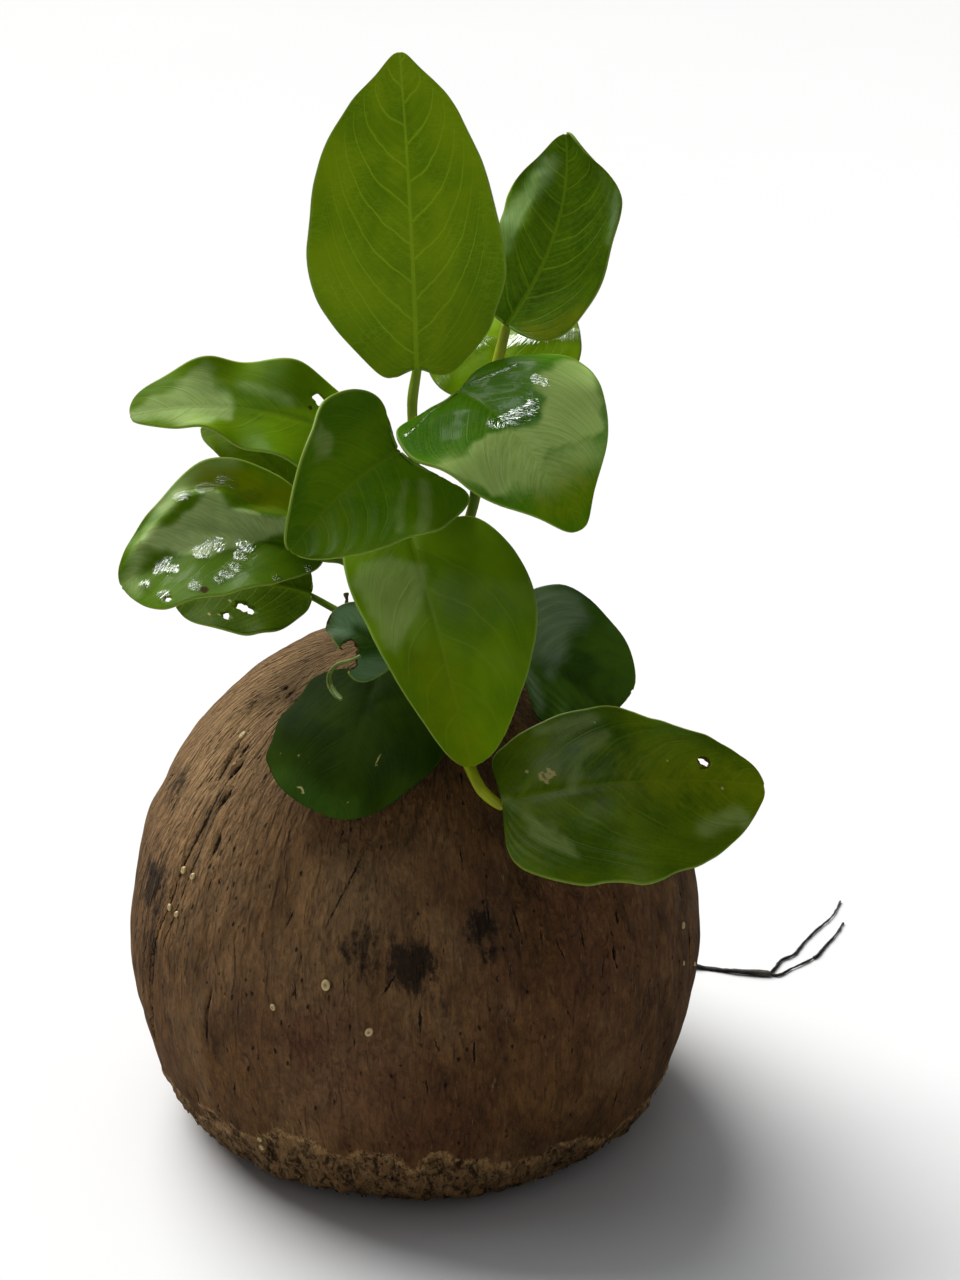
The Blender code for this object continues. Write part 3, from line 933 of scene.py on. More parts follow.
@dataclass(frozen=True)
class Tube:
    """A closed round stem, root or rhizome along a route."""

    route: Route
    sides: int = 20
    step: float = 0.5
    round_start: float = 0.7
    round_end: float = 0.7
    fade: float = 6.0
    merge: float = 0.004

    def build(self, bm: Mesh, swell: Callable[[Array, Array], Array]) -> None:
        """Roll a grid round the route and close it.

        Args:
            bm: Empty mesh to fill.
            swell: Gives the change of radius from distance along and angle round.
        """
        length = self.route.sample(2)[2][-1]
        rows = max(12, int(length / self.step))
        centres, radii, run = self.route.sample(rows + 1)
        ahead = unit(np.gradient(centres, axis=0))
        side = np.zeros_like(ahead)
        seed = np.array((0.0, 0.0, 1.0)) if abs(ahead[0, 2]) < 0.9 else np.array((1.0, 0.0, 0.0))
        for row, way in enumerate(ahead):
            seed = seed - way * (seed @ way)
            seed = seed / np.linalg.norm(seed)
            side[row] = seed
        other = np.cross(ahead, side)
        verts, across, along = bent_grid(bm, self.sides, rows)
        row = np.rint(along * rows).astype(int)
        angle = math.pi * (across + 1.0)
        radius = radii[row] + swell(run[row], angle)
        for far, end in (
            (run[row], self.round_start * radii[0]),
            (length - run[row], self.round_end * radii[-1]),
        ):
            radius *= np.sqrt(np.clip(1 - (1 - np.clip(far / max(end, 1e-6), 0, 1)) ** 2, 0, 1))
        ring = side[row] * np.cos(angle)[:, None] + other[row] * np.sin(angle)[:, None]
        put(verts, centres[row] + ring * radius[:, None])
        girth = float(np.mean(radii))
        grain = np.stack([np.cos(angle) * girth, np.sin(angle) * girth, run[row]], axis=1)
        foot, tip = 1.0 - ease(0.0, self.fade, run[row]), ease(length - self.fade, length, run[row])
        note(bm, verts, {"grain": grain, "foot": foot, "tip": tip})
        bmesh.ops.remove_doubles(bm, verts=bm.verts[:], dist=self.merge)
        bmesh.ops.recalc_face_normals(bm, faces=bm.faces[:])


# Shell


@dataclass(frozen=True)
class Cut:
    """A groove or slot in the husk: azimuth in degrees and height along it."""

    path: tuple[Pair, ...]
    width: float = 0.7
    depth: float = 0.8


@dataclass(frozen=True)
class Stain:
    """A round stain on the husk."""

    azimuth: float
    height: float
    radius: float
    strength: float


@dataclass(frozen=True)
class Places:
    """Points of the shell: degrees about its axis, heights, reaches from it and climbs."""

    azimuth: Array
    height: Array
    reach: Array
    climb: Array

    def beside(self, azimuth: float) -> Array:
        """Degrees from an azimuth, the short way round."""
        return (self.azimuth - azimuth + 180) % 360 - 180


@dataclass
class CoconutShell:
    """Upturned half coconut, open below, with its frayed rim."""

    radius: float = 60.0
    rise: float = 67.0
    waist: float = 39.0
    wall: float = 5.0
    rounding: float = 9.0
    pull_in: float = 0.8
    steps: int = 570
    outer_rings: int = 124
    inner_rings: int = 16
    scattered: int = 120
    fibres: int = 520
    swell: Relief = Relief(3, 0.5, (15.0, 15.0, 15.0), 3)
    grain: Relief = Relief(5, 0.2, (3.0, 3.0, 10.0))
    fray: Relief = Relief(7, 0.8, (3.4, 3.4, 3.0), 3)
    inside: Relief = Relief(11, 0.25, (6.0, 6.0, 18.0))
    foot: Relief = Relief(13, 0.7, (3.0, 3.0, 3.0))
    band_edge: Relief = Relief(21, 3.0, (1.0, 1.0, 6.0), 3)
    near_floor: float = 12.0
    inner_share: float = 0.93
    settle: float = 3.0
    cut_reach: float = 25.0
    cut_halo: float = 0.7
    band_turns: tuple[float, ...] = (0, 60, 130, 200, 217, 248, 268, 288, 312, 330, 360)
    band_tops: tuple[float, ...] = (13, 15, 12, 14, 16, 20, 20, 16, 15, 14, 13)
    cuts: tuple[Cut, ...] = (
        Cut(((213.6, 85), (214, 76), (212.5, 69.4), (211.3, 59.5)), 0.34, 0.6),
        Cut(((212.3, 66), (211.3, 59.5), (208, 48), (206, 35), (202, 23), (202, 18)), 0.24, 0.5),
        Cut(((216.4, 80), (216.2, 72), (214.5, 62), (211.8, 50)), 0.22, 0.3),
        Cut(((210, 62), (206, 45), (204, 33), (200, 22)), 0.2, 0.4),
        Cut(((204, 50), (202, 40), (199, 28)), 0.2, 0.3),
        Cut(((207.3, 89.7), (209.5, 83.6)), 0.62, 1.1),
        Cut(((211.5, 90.5), (212.2, 88.4)), 0.5, 0.9),
        Cut(((214.6, 87.9), (213.4, 84.8)), 0.6, 1.0),
        Cut(((217.0, 83.5), (216.0, 80.5)), 0.55, 0.9), Cut(((195, 95.1), (196.3, 93.6)), 0.6, 0.9),
        Cut(((205, 99.2), (207, 97.8)), 0.5, 0.8), Cut(((213.4, 98.6), (214.7, 97.3)), 0.6, 0.9),
        Cut(((199.5, 99.0), (199.5, 98.2)), 0.55, 0.7),
        Cut(((220.6, 76.4), (220.6, 72.8)), 0.55, 0.8),
        Cut(((259.7, 80.7), (256.9, 75.3), (253, 66.9)), 0.22, 0.3),
        Cut(((228.2, 49), (227.1, 42.4), (227, 35.6)), 0.4, 0.7),
        Cut(((272, 52), (272, 48)), 0.3, 0.4), Cut(((342, 48.6), (341.4, 39.3)), 0.45, 0.6),
        Cut(((315.9, 62.8), (315.7, 60.4)), 0.35, 0.4), Cut(((313.4, 57), (313.2, 54.2)), 0.5, 0.6),
    )
    stains: tuple[Stain, ...] = (
        Stain(270.3, 60.7, 5.5, 1.0), Stain(284.4, 67.2, 4.0, 0.8), Stain(285.9, 61.7, 2.5, 0.6),
        Stain(261.3, 62.4, 7.0, 0.55), Stain(201.8, 59.6, 8.0, 0.8), Stain(206.9, 48.9, 5.0, 0.5),
        Stain(191.2, 76.5, 6.0, 0.6), Stain(318.0, 78.0, 16.0, 0.2), Stain(278.0, 52.0, 9.0, 0.3),
        Stain(60.0, 60.0, 14.0, 0.5), Stain(120.0, 40.0, 10.0, 0.6),
    )
    ruddy: tuple[Stain, ...] = (
        Stain(249, 43.8, 12, 0.8), Stain(273.7, 25.1, 14, 0.6), Stain(261.5, 35.7, 16, 0.6),
        Stain(305.0, 60.0, 22, 0.5), Stain(80, 40, 22, 0.6),
    )
    # Paler patches: partly the husk's paler tone, partly painted light that brightens the upper
    # left and the front left
    paler_and_painted_light: tuple[Stain, ...] = (
        Stain(200, 95, 30, 0.9), Stain(215, 75, 22, 0.5), Stain(170, 80, 26, 0.6),
        Stain(236, 55, 12, 0.25), Stain(257, 72, 13, 0.45), Stain(250, 56, 14, 0.42),
        Stain(255, 38, 14, 0.42), Stain(277, 82, 5, 0.2), Stain(280, 64, 4, 0.15),
        Stain(282, 46, 4, 0.1),
    )
    specks: tuple[Triple, ...] = (
        (206.2, 91.0, 1.0), (213.2, 67.4, 0.9), (216.9, 67.5, 0.85), (211.9, 59.3, 0.8),
        (214.9, 59.1, 0.8), (253.8, 55.9, 1.25), (243.2, 49.4, 0.75), (262.4, 47.4, 1.05),
        (237.1, 15.9, 0.7), (236.9, 13.5, 0.8), (338.5, 50.6, 0.8), (336.8, 42.9, 0.6),
        (345.1, 38.2, 0.6), (96.0, 52.0, 1.0), (110.0, 71.0, 0.8), (31.0, 45.0, 0.9),
        (12.0, 60.0, 0.7), (152.0, 33.0, 0.9),
    )

    def outer_radius(self, height: Array) -> Array:
        """Radius of the outer face.

        Args:
            height: Heights above the floor.

        Returns:
            One radius per height.
        """
        rise = (height - self.waist) / self.rise
        radius = self.radius * np.sqrt(np.maximum(0.0, 1.0 - rise * rise))
        drop = np.maximum(0.0, self.rounding - height)
        curve = self.rounding - np.sqrt(np.maximum(0.0, self.rounding**2 - drop**2))
        return radius - self.pull_in * curve

    def spot(self, azimuth: float, height: float, lift: float) -> Vector:
        """Point at a lift above the outer face, by degrees about the axis and height."""
        return self.ground(azimuth, height) + self.outward(azimuth, height) * lift

    def ground(self, azimuth: float, height: float) -> Vector:
        """Point on the outer face, by degrees about the axis and height."""
        radius = float(self.outer_radius(np.array([float(height)]))[0])
        angle = math.radians(azimuth)
        return Vector((radius * math.cos(angle), radius * math.sin(angle), height))

    def outward(self, azimuth: float, height: float) -> Vector:
        """Direction straight out of the outer face, by degrees and height."""
        spot = self.ground(azimuth, height)
        rise = (height - self.waist) / self.rise**2
        return Vector((spot.x / self.radius**2, spot.y / self.radius**2, rise)).normalized()

    def climb(self, height: Array) -> Array:
        """Distance up the husk from its waist to each height."""
        return self.rise * np.arcsin(np.clip((height - self.waist) / self.rise, -1, 1))

    def profile(self) -> list[Pair]:
        """Half section of the wall: up the outside and down the inside."""
        low = math.asin((self.rounding - self.waist) / self.rise)
        heights = list(np.linspace(0.0, self.rounding, 10)[:-1])
        for step in range(self.outer_rings + 1):
            angle = low + (math.pi / 2 - low) * step / self.outer_rings
            heights.append(self.waist + self.rise * math.sin(angle))
        outer = list(zip(self.outer_radius(np.array(heights)).tolist(), heights))
        outer[-1] = (0.0, self.waist + self.rise)
        inner = []
        rise, reach = self.rise - self.wall, self.radius - self.wall
        start = math.asin(-self.waist / rise)
        for step in range(self.inner_rings + 1):
            angle = math.pi / 2 + (start - math.pi / 2) * step / self.inner_rings
            height = max(0.0, self.waist + rise * math.sin(angle))
            limit = float(self.outer_radius(np.array([height]))[0]) - self.wall
            inner.append((max(0.0, min(reach * math.cos(angle), limit)), height))
        return outer + inner

    def build(self) -> Piece:
        """Turn the section round the axis, work the husk's relief in and note its stains."""
        bm = bmesh.new()
        section = np.array(self.profile())
        section = np.vstack([section, section[:1]])
        verts, across, along = bent_grid(bm, self.steps, len(section) - 1)
        radius, height = section[np.rint(along * (len(section) - 1)).astype(int)].T
        turn = math.pi * (across + 1)
        put(verts, np.column_stack([radius * np.cos(turn), radius * np.sin(turn), height]))
        bmesh.ops.remove_doubles(bm, verts=bm.verts[:], dist=0.02)
        bmesh.ops.recalc_face_normals(bm, faces=bm.faces[:])
        self.work_surface(bm)
        outer = bm.verts.layers.float.get("outside")
        for face in bm.faces:
            face.material_index = 0 if sum(vert[outer] for vert in face.verts) > 0.5 else 1
        finishes = [
            HuskFinish("coconut husk").material(), InnerFinish("coconut shell inside").material(),
        ]
        return add_piece(bm, "shell_dressed", finishes, "coconut_shell", ("coconut_shell",))

    def work_surface(self, bm: Mesh) -> None:
        """Raise and cut the husk and note what the finish reads.

        Args:
            bm: Mesh of the spun wall.
        """
        verts = bm.verts[:]
        spots = np.array([vert.co for vert in verts])
        height, ring = spots[:, 2], np.arctan2(spots[:, 1], spots[:, 0])
        reach = np.hypot(spots[:, 0], spots[:, 1])
        at = Places(np.degrees(ring) % 360, height, reach, self.climb(height))
        full = (reach / self.radius) ** 2 + ((height - self.waist) / self.rise) ** 2
        low = reach > self.outer_radius(height) - self.wall / 2
        outside = np.where(height < self.near_floor, low, full > self.inner_share)
        ring = np.radians(at.azimuth)
        grain = np.column_stack([np.cos(ring) * self.radius, np.sin(ring) * self.radius, at.climb])
        rim, cut = self.rim_share(at), self.grooves(at)
        lift = self.swell.over(grain) + self.grain.over(grain) + rim * self.fray.over(grain)
        lift = np.where(outside, lift - cut.pop("depth"), self.inside.over(grain))
        rise = (height - self.waist) / self.rise**2
        outward = unit(np.column_stack([spots[:, :2] / self.radius**2, rise]))
        moved = spots + outward * (lift * ease(0.0, self.settle, height))[:, None]
        foot = np.maximum(0.0, self.foot.over(grain))
        moved[:, 2] = np.maximum(moved[:, 2], 0.0) + np.where(height < 0.3, foot, 0.0)
        put(verts, moved)
        notes = {"outside": outside.astype(float), "grain": grain, "rim": rim}
        marks = {"smudge": self.stains, "ruddy": self.ruddy, "bleach": self.paler_and_painted_light}
        notes |= {name: self.stained(stains, at) for name, stains in marks.items()}
        note(bm, verts, notes | cut)

    def rim_share(self, at: Places) -> Array:
        """Share of the frayed band at each point: 1 in the band, 0 above it."""
        top = np.interp(at.azimuth, np.array(self.band_turns, float), self.band_tops)
        ring = np.radians(at.azimuth)
        spots = np.column_stack([np.cos(ring) * 12, np.sin(ring) * 12, at.height])
        return 1.0 - ease(-4.0, 1.0, at.height + self.band_edge.over(spots) - top)

    def scatter(self) -> list[Cut]:
        """Small grooves all over the husk."""
        chance = random.Random(8)
        made = []
        for _ in range(self.scattered):
            turn, low = chance.uniform(0, 360), chance.uniform(16, 98)
            long, slant = chance.uniform(1.2, 5.0), chance.gauss(0, 0.7)
            size = chance.uniform(0.12, 0.28)
            made.append(Cut(((turn, low), (turn + slant, low + long)), size, size))
        return made

    def grooves(self, at: Places) -> dict[str, Array]:
        """Named grooves and slots, with scattered small ones.

        Args:
            at: Points of the shell.

        Returns:
            Depth, nearness, offset and width of the nearest groove.
        """
        count = len(at.azimuth)
        depth, near = np.zeros(count), np.zeros(count)
        side, wide = np.full(count, 9.0), np.full(count, 0.1)
        for cut in (*self.cuts, *self.scatter()):
            turns, heights = np.array(cut.path, float).T
            away = at.beside(turns[0])
            close = np.flatnonzero(np.abs(away) < self.cut_reach)
            spots = np.column_stack([np.radians(away[close]) * at.reach[close], at.climb[close]])
            girth = self.outer_radius(heights)
            line = np.column_stack([np.radians(turns - turns[0]) * girth, self.climb(heights)])
            far, offset, share = nearest_on_line(spots, line)
            taper = np.sqrt(np.clip(4 * share * (1 - share), 0.0, 1.0))
            worth = np.exp(-((far / (cut.width + self.cut_halo)) ** 2))
            take = worth > near[close]
            taken = close[take]
            near[taken] = worth[take]
            side[taken] = offset[take]
            wide[taken] = cut.width * (0.15 + 0.85 * taper[take])
            dent = cut.depth * (0.3 + 0.7 * taper) * np.exp(-((far / cut.width) ** 2))
            depth[close] = np.maximum(depth[close], dent)
        return {"depth": depth, "groove_near": near, "groove_side": side, "groove_width": wide}

    @staticmethod
    def stained(stains: tuple[Stain, ...], at: Places) -> Array:
        """Strongest stain at each point.

        Args:
            stains: Stains to lay down.
            at: Points of the shell.

        Returns:
            Shares from 0 to 1.
        """
        share = np.zeros(len(at.azimuth))
        for stain in stains:
            away = np.radians(at.beside(stain.azimuth)) * at.reach
            far = np.hypot(away, at.height - stain.height) / stain.radius
            share = np.maximum(share, stain.strength * np.exp(-(far**2)))
        return share

    def build_fibres(self) -> Piece:
        """Lay short frayed fibres over the band at the bottom."""
        bm = bmesh.new()
        tone = bm.verts.layers.float.new("tone")
        chance = random.Random(4)
        for _ in range(self.fibres):
            azimuth = chance.uniform(0, 360)
            height = abs(chance.gauss(0, 6.0)) + 0.9
            height = height if height < 13 else chance.uniform(1, 8)
            long, thick = chance.uniform(0.6, 1.7), chance.uniform(0.1, 0.24)
            out = self.outward(azimuth, height)
            up = (UP - out * out.z).normalized()
            aside = out.cross(up)
            turn = chance.gauss(0, 0.6)
            run = up * math.cos(turn) + aside * math.sin(turn) + out * chance.uniform(-0.06, 0.1)
            run.normalize()
            spot = self.spot(azimuth, height, chance.uniform(0.0, 0.2))
            facing = Matrix((run.cross(out), out - run * out.dot(run), run)).transposed().to_4x4()
            made = bmesh.ops.create_cone(
                bm,
                cap_ends=True,
                segments=5,
                radius1=thick,
                radius2=thick * 0.35,
                depth=long,
                matrix=Matrix.Translation(spot) @ facing,
            )
            shade = chance.random()
            for vert in made["verts"]:
                vert[tone] = shade
                vert.co.z = max(vert.co.z, 0.02)
        finish = ScrapFinish("frayed fibre", tint(164, 132, 82), tint(36, 25, 14)).material()
        return add_piece(bm, "rim_fibres", [finish], "coconut_shell")

    def build_specks(self) -> Piece:
        """Set the small cream ovals on the husk."""
        bm = bmesh.new()
        tone = bm.verts.layers.float.new("tone")
        chance = random.Random(9)
        for azimuth, height, size in self.specks:
            out = self.outward(azimuth, height)
            up = (UP - out * out.z).normalized()
            turn = chance.uniform(-0.6, 0.6)
            shape = Matrix.Diagonal((size * 0.7, size * 0.92, 0.4, 1.0))
            facing = Matrix((up.cross(out), up, out)).transposed().to_4x4()
            facing = facing @ Matrix.Rotation(turn, 4, "Z")
            place = Matrix.Translation(self.spot(azimuth, height, 0.1)) @ facing
            made = bmesh.ops.create_icosphere(
                bm, subdivisions=3, radius=1.0, matrix=Matrix.Identity(4),
            )
            for vert in made["verts"]:
                middle = max(0.0, 1.0 - math.hypot(vert.co.x, vert.co.y) * 1.7)
                middle = middle if vert.co.z > 0 else 0.0
                vert[tone] = 1.0 - 0.9 * middle
                vert.co.z -= 0.5 * middle
                vert.co = place @ shape @ vert.co
        finish = ScrapFinish("cream speck", tint(205, 182, 128), tint(92, 66, 34), 0.4).material()
        return add_piece(bm, "shell_specks", [finish], "coconut_shell")


# Rhizome and roots


@dataclass
class Rhizome:
    """Creeping stem on top of the shell, back end first."""

    path: tuple[Triple, ...] = (
        (-6, 9, 110), (0, 1, 110.8), (6, -7, 110), (10, -14, 108), (12, -19, 105.5),
    )
    radii: tuple[float, ...] = (3.0, 4.0, 4.4, 4.2, 3.2)
    grip: float = 1.6
    ring_step: float = 2.6
    knobbly: Relief = Relief(31, 0.45, (1.0, 1.0, 2.4), 3)

    def spot(self, along: float, around: float, lift: float | None = None) -> Vector:
        """Point at the rhizome's side.

        Args:
            along: Place along the path, counted in its points.
            around: Degrees round from the top.
            lift: Distance off the surface, or None for where a stalk starts.

        Returns:
            The point.
        """
        index = min(int(along), len(self.path) - 2)
        part = along - index
        first, second = Vector(self.path[index]), Vector(self.path[index + 1])
        radius = self.radii[index] * (1 - part) + self.radii[index + 1] * part
        run = (second - first).normalized()
        aside = run.cross(UP).normalized()
        upward = aside.cross(run).normalized()
        angle = math.radians(around)
        outward = upward * math.cos(angle) + aside * math.sin(angle)
        return first.lerp(second, part) + outward * (radius + (self.grip if lift is None else lift))

    def build(self) -> Piece:
        """Roll the stem with its leaf scars and knobs."""
        bm = bmesh.new()
        tube = Tube(
            Route(self.path, self.radii), sides=72, step=0.28, round_start=0.9, round_end=1.1,
        )
        tube.build(bm, self.knobs)
        finish = BarkFinish(
            "rhizome skin", tint(84, 88, 40), tint(46, 40, 22), tint(128, 138, 60), 0.55,
        )
        return add_piece(bm, "rhizome_dressed", [finish.material()], "rhizome", ("rhizome",))

    def knobs(self, run: Array, angle: Array) -> Array:
        """Change of radius from ring scars and bumps.

        Args:
            run: Distances along.
            angle: Angles round.

        Returns:
            Changes of radius.
        """
        ring = np.abs(np.sin(math.pi * run / self.ring_step + 0.5 * np.sin(angle)))
        spots = np.column_stack([np.cos(angle) * 2.0, np.sin(angle) * 2.0, run])
        return 0.45 * ring**0.5 - 0.4 + self.knobbly.over(spots)


@dataclass
class Roots:
    """Long root down the back of the shell and its thin ends on the floor."""

    shell: CoconutShell
    rhizome: Rhizome
    radius: float = 0.52
    knot: float = 0.8
    fork: float = 0.36
    fork_tip: float = 0.2
    clearance: float = 0.3
    on_shell: tuple[Pair, ...] = ((98, 101), (86, 90), (74, 74), (63, 57), (55, 40))
    off_shell: tuple[Triple, ...] = ((45, 49, 18), (54, 51, 5))
    on_floor: tuple[Pair, ...] = ((64, 51), (73, 48.6), (80, 47.6))
    inner: tuple[Pair, ...] = (
        (82, 50.5), (84, 54.5), (87, 57), (90, 63), (93.5, 69), (98, 76), (101, 84),
    )
    outer: tuple[Pair, ...] = ((82.6, 47.3), (86, 50.5), (89, 53), (91.5, 55.5))
    twig: tuple[Pair, ...] = ((92.6, 56.8), (95, 61.5), (98, 67), (100.5, 73))

    def laid(self, spots: tuple[Pair, ...], radius: float) -> tuple[Triple, ...]:
        """Points in plan, laid on the floor."""
        return tuple((x, y, radius + 0.05) for x, y in spots)

    def build(self) -> list[Piece]:
        """Roll the root and its ends."""
        finish = BarkFinish("root skin", tint(58, 52, 44), tint(28, 24, 22), tint(84, 76, 66))
        finish = finish.material()
        lift = self.radius + self.clearance + 0.6
        start = tuple(self.rhizome.spot(0.0, -80, -0.4))
        down = [tuple(self.shell.spot(azimuth, height, lift)) for azimuth, height in self.on_shell]
        points = (start, *down, *self.off_shell, *self.laid(self.on_floor, self.knot - 0.15))
        joint = self.laid(((81.2, 47.6),), self.knot - 0.25)[0]
        main = Route(
            (*points, joint), (*[self.radius] * (len(points) - 1), self.knot, self.knot * 0.75),
        )
        made = [self.roll("root_trailing", main, finish, 51)]
        for name, spots, seed in (
            ("root_fork_inner", self.inner, 52),
            ("root_fork_outer", self.outer, 53),
            ("root_twig", self.twig, 54),
        ):
            radii = np.linspace(self.fork, self.fork_tip, len(spots) + 1)
            joins = {"root_twig": (91.3, 55.3)}.get(name, (80.6, 48.0))
            ends = self.laid((joins, *spots), self.fork)
            made.append(self.roll(name, Route(ends, tuple(radii)), finish, seed))
        return made

    def roll(self, node: str, route: Route, finish: Material, seed: int) -> Piece:
        """Roll one root, with small swellings.

        Args:
            node: Node that the piece stands for.
            route: Line and radii.
            finish: Material.
            seed: Choice of the unevenness.

        Returns:
            The piece.
        """
        bm = bmesh.new()

        def swell(run: Array, angle: Array) -> Array:
            """Small swellings along the root."""
            spots = np.column_stack([np.cos(angle) * 0.6, np.sin(angle) * 0.6, run])
            return Relief(seed, 0.13, (1.0, 1.0, 1.8), 3).over(spots)

        Tube(route, sides=14, step=0.4, round_start=0.8, round_end=2.5).build(bm, swell)
        for vert in bm.verts:
            vert.co.z = max(vert.co.z, 0.03)
        return add_piece(bm, node + "_dressed", [finish], "root", (node,))


# Leaves


class Mark(Enum):
    """What a stroke on a leaf does."""

    RIDGE = "ridge"
    # Painted sheen: pale colour laid where the blade would reflect the sky
    PAINTED_SHEEN = "film"
    SCAR = "scar"
    PALE = "pale"
    BLUSH = "blush"
    WRINKLE = "wrinkle"
    WET = "wet"


@dataclass(frozen=True)
class Stroke:
    """A line or an area on a blade, as shares along it and across it."""

    mark: Mark
    path: tuple[Pair, ...]
    width: float
    strength: float = 1.0
    area: bool = False
    ragged: float = 1.6


@dataclass(frozen=True)
class Hole:
    """A hole through a blade, as shares along and across, and a radius."""

    along: float
    across: float
    radius: float
    burnt: float = 0.7


@dataclass(frozen=True)
class Roll:
    """A stretch of margin that bends up, or back where its lift is negative."""

    side: int
    start: float
    end: float
    lift: float
    share: float = 0.4


@dataclass
class Leaf:
    """One blade and its stalk."""

    name: str
    slot: str
    base: Triple
    tip: Triple
    bow: Triple
    face: Triple
    left: tuple[float, ...]
    right: tuple[float, ...]
    keel: float
    wave: float
    lobe: Pair
    grows_from: Pair
    stalk_via: tuple[Triple, ...]
    stalk_radius: float
    ribs: float = 9.0
    rib_slope: float = 1.0
    ripple: float = 0.3
    quilt: float = 0.05
    wobble: float = 0.25
    wave_count: float = 2.2
    wave_phase: Pair = (2.4, 0.8)
    lobe_at: float = 0.1
    point: float = 0.0
    stalk_tint: Colour = tint(104, 136, 16)
    strokes: tuple[Stroke, ...] = ()
    holes: tuple[Hole, ...] = ()
    rolls: tuple[Roll, ...] = ()
    thickness: float = 0.55
    cell: float = 0.5
    seed: int = 1

    STATIONS = (0.1, 0.3, 0.5, 0.7, 0.9)
    END_WIDTHS = (0.8, 0.4)
    LEAST_WIDTH = 0.3
    FIRM_BESIDE_MIDRIB = 3.5
    MIDRIB_DENT = (0.3, 0.8)
    ROLL_FADE = (0.08, 0.1)

    @property
    def length(self) -> float:
        """Straight length of the blade."""
        return (Vector(self.tip) - Vector(self.base)).length

    def half_width(self, widths: tuple[float, ...], along: Array) -> Array:
        """Smooth half-width with a slightly uneven margin.

        Args:
            widths: Half-widths at the stations.
            along: Shares of the way along.

        Returns:
            One half-width per share.
        """
        places = np.arccos(1 - 2 * np.array((0.0, *self.STATIONS, 1.0))) / math.pi
        spots = np.arccos(np.clip(1 - 2 * along, -1, 1)) / math.pi
        first, last = self.END_WIDTHS
        width = smooth_through(places, np.array((first, *widths, last)), spots)
        width = width * (1 - self.point * ease(0.86, 1.0, along))
        step = along * self.length
        spots = np.column_stack([step, step * 0, step * 0 + widths[1]])
        uneven = Relief(self.seed + 40, self.wobble, (6.5, 1.0, 1.0)).over(spots)
        return np.maximum(self.LEAST_WIDTH, width + uneven * ease(0.0, 6.0, width))

    def width(self, across: Array, along: Array) -> Array:
        """Half-width on the side of each point."""
        right, left = self.half_width(self.right, along), self.half_width(self.left, along)
        return np.where(across > 0, right, left)

    def frame(self, along: Array) -> tuple[Array, ...]:
        """Midrib and directions.

        Args:
            along: Shares of the way along.

        Returns:
            Points, directions along, across and out of the face.
        """
        base, tip = np.array(self.base, float), np.array(self.tip, float)
        knee = (base + tip) / 2 + np.array(self.bow) * 2
        part = along[:, None]
        spot = base * (1 - part) ** 2 + knee * 2 * part * (1 - part) + tip * part**2
        run = unit((knee - base) * (1 - part) + (tip - knee) * part)
        across = unit(np.cross(run, np.array(self.face, float)))
        return spot, run, across, unit(np.cross(across, run))

    def set_back(self, across: Array, along: Array) -> Array:
        """How far the basal lobes reach back at each point."""
        lobe = np.where(across > 0, self.lobe[1], self.lobe[0])
        return lobe * np.abs(across) * (along / self.lobe_at) * np.exp(1 - along / self.lobe_at)

    def plan(self, across: Array, along: Array) -> Array:
        """Places on the flattened blade, beside the midrib and along it."""
        back = along * self.length - self.set_back(across, along)
        return np.column_stack([across * self.width(across, along), back])

    def place(self, across: Array, along: Array, flat: Array, rib: Array) -> Array:
        """Points of the blade's middle surface.

        Args:
            across: Shares across, -1 to 1.
            along: Shares along.
            flat: Places on the flattened blade.
            rib: Count of main veins up to each point.

        Returns:
            One point per row.
        """
        spot, run, aside, outward = self.frame(along)
        reach = np.abs(across)
        belly = np.sin(math.pi * np.minimum(1.0, 0.08 + 0.92 * along))
        lift = self.keel * reach**1.6 * np.maximum(0.0, belly)
        phase = np.where(across > 0, self.wave_phase[1], self.wave_phase[0])
        lift += self.wave * reach**2 * np.sin(math.tau * self.wave_count * along + phase) * belly
        spots = np.column_stack([flat, np.full(len(flat), self.seed * 3.7)])
        beside = ease(0.0, self.FIRM_BESIDE_MIDRIB, np.abs(flat[:, 0]))
        lift += Relief(self.seed, self.ripple, (9.0, 9.0, 1.0)).over(spots) * beside
        pillow = np.sin(math.pi * (rib - 0.5)) ** 2
        lift += self.quilt * pillow * beside * (1 - ease(0.75, 1.0, reach))
        deep, wide = self.MIDRIB_DENT
        lift -= deep * np.exp(-((flat[:, 0] / wide) ** 2)) * (1 - along)
        out, into = self.ROLL_FADE
        for roll in self.rolls:
            window = ease(roll.start - out, roll.start + into, along)
            window = window * (1 - ease(roll.end - into, roll.end + out, along))
            part = np.clip((roll.side * across - 1 + roll.share) / roll.share, 0, 1)
            lift += roll.lift * part**2 * window
        lift += self.marked(Mark.RIDGE, flat)
        spot = spot + aside * (across * self.width(across, along))[:, None]
        return spot + outward * lift[:, None] - run * self.set_back(across, along)[:, None]

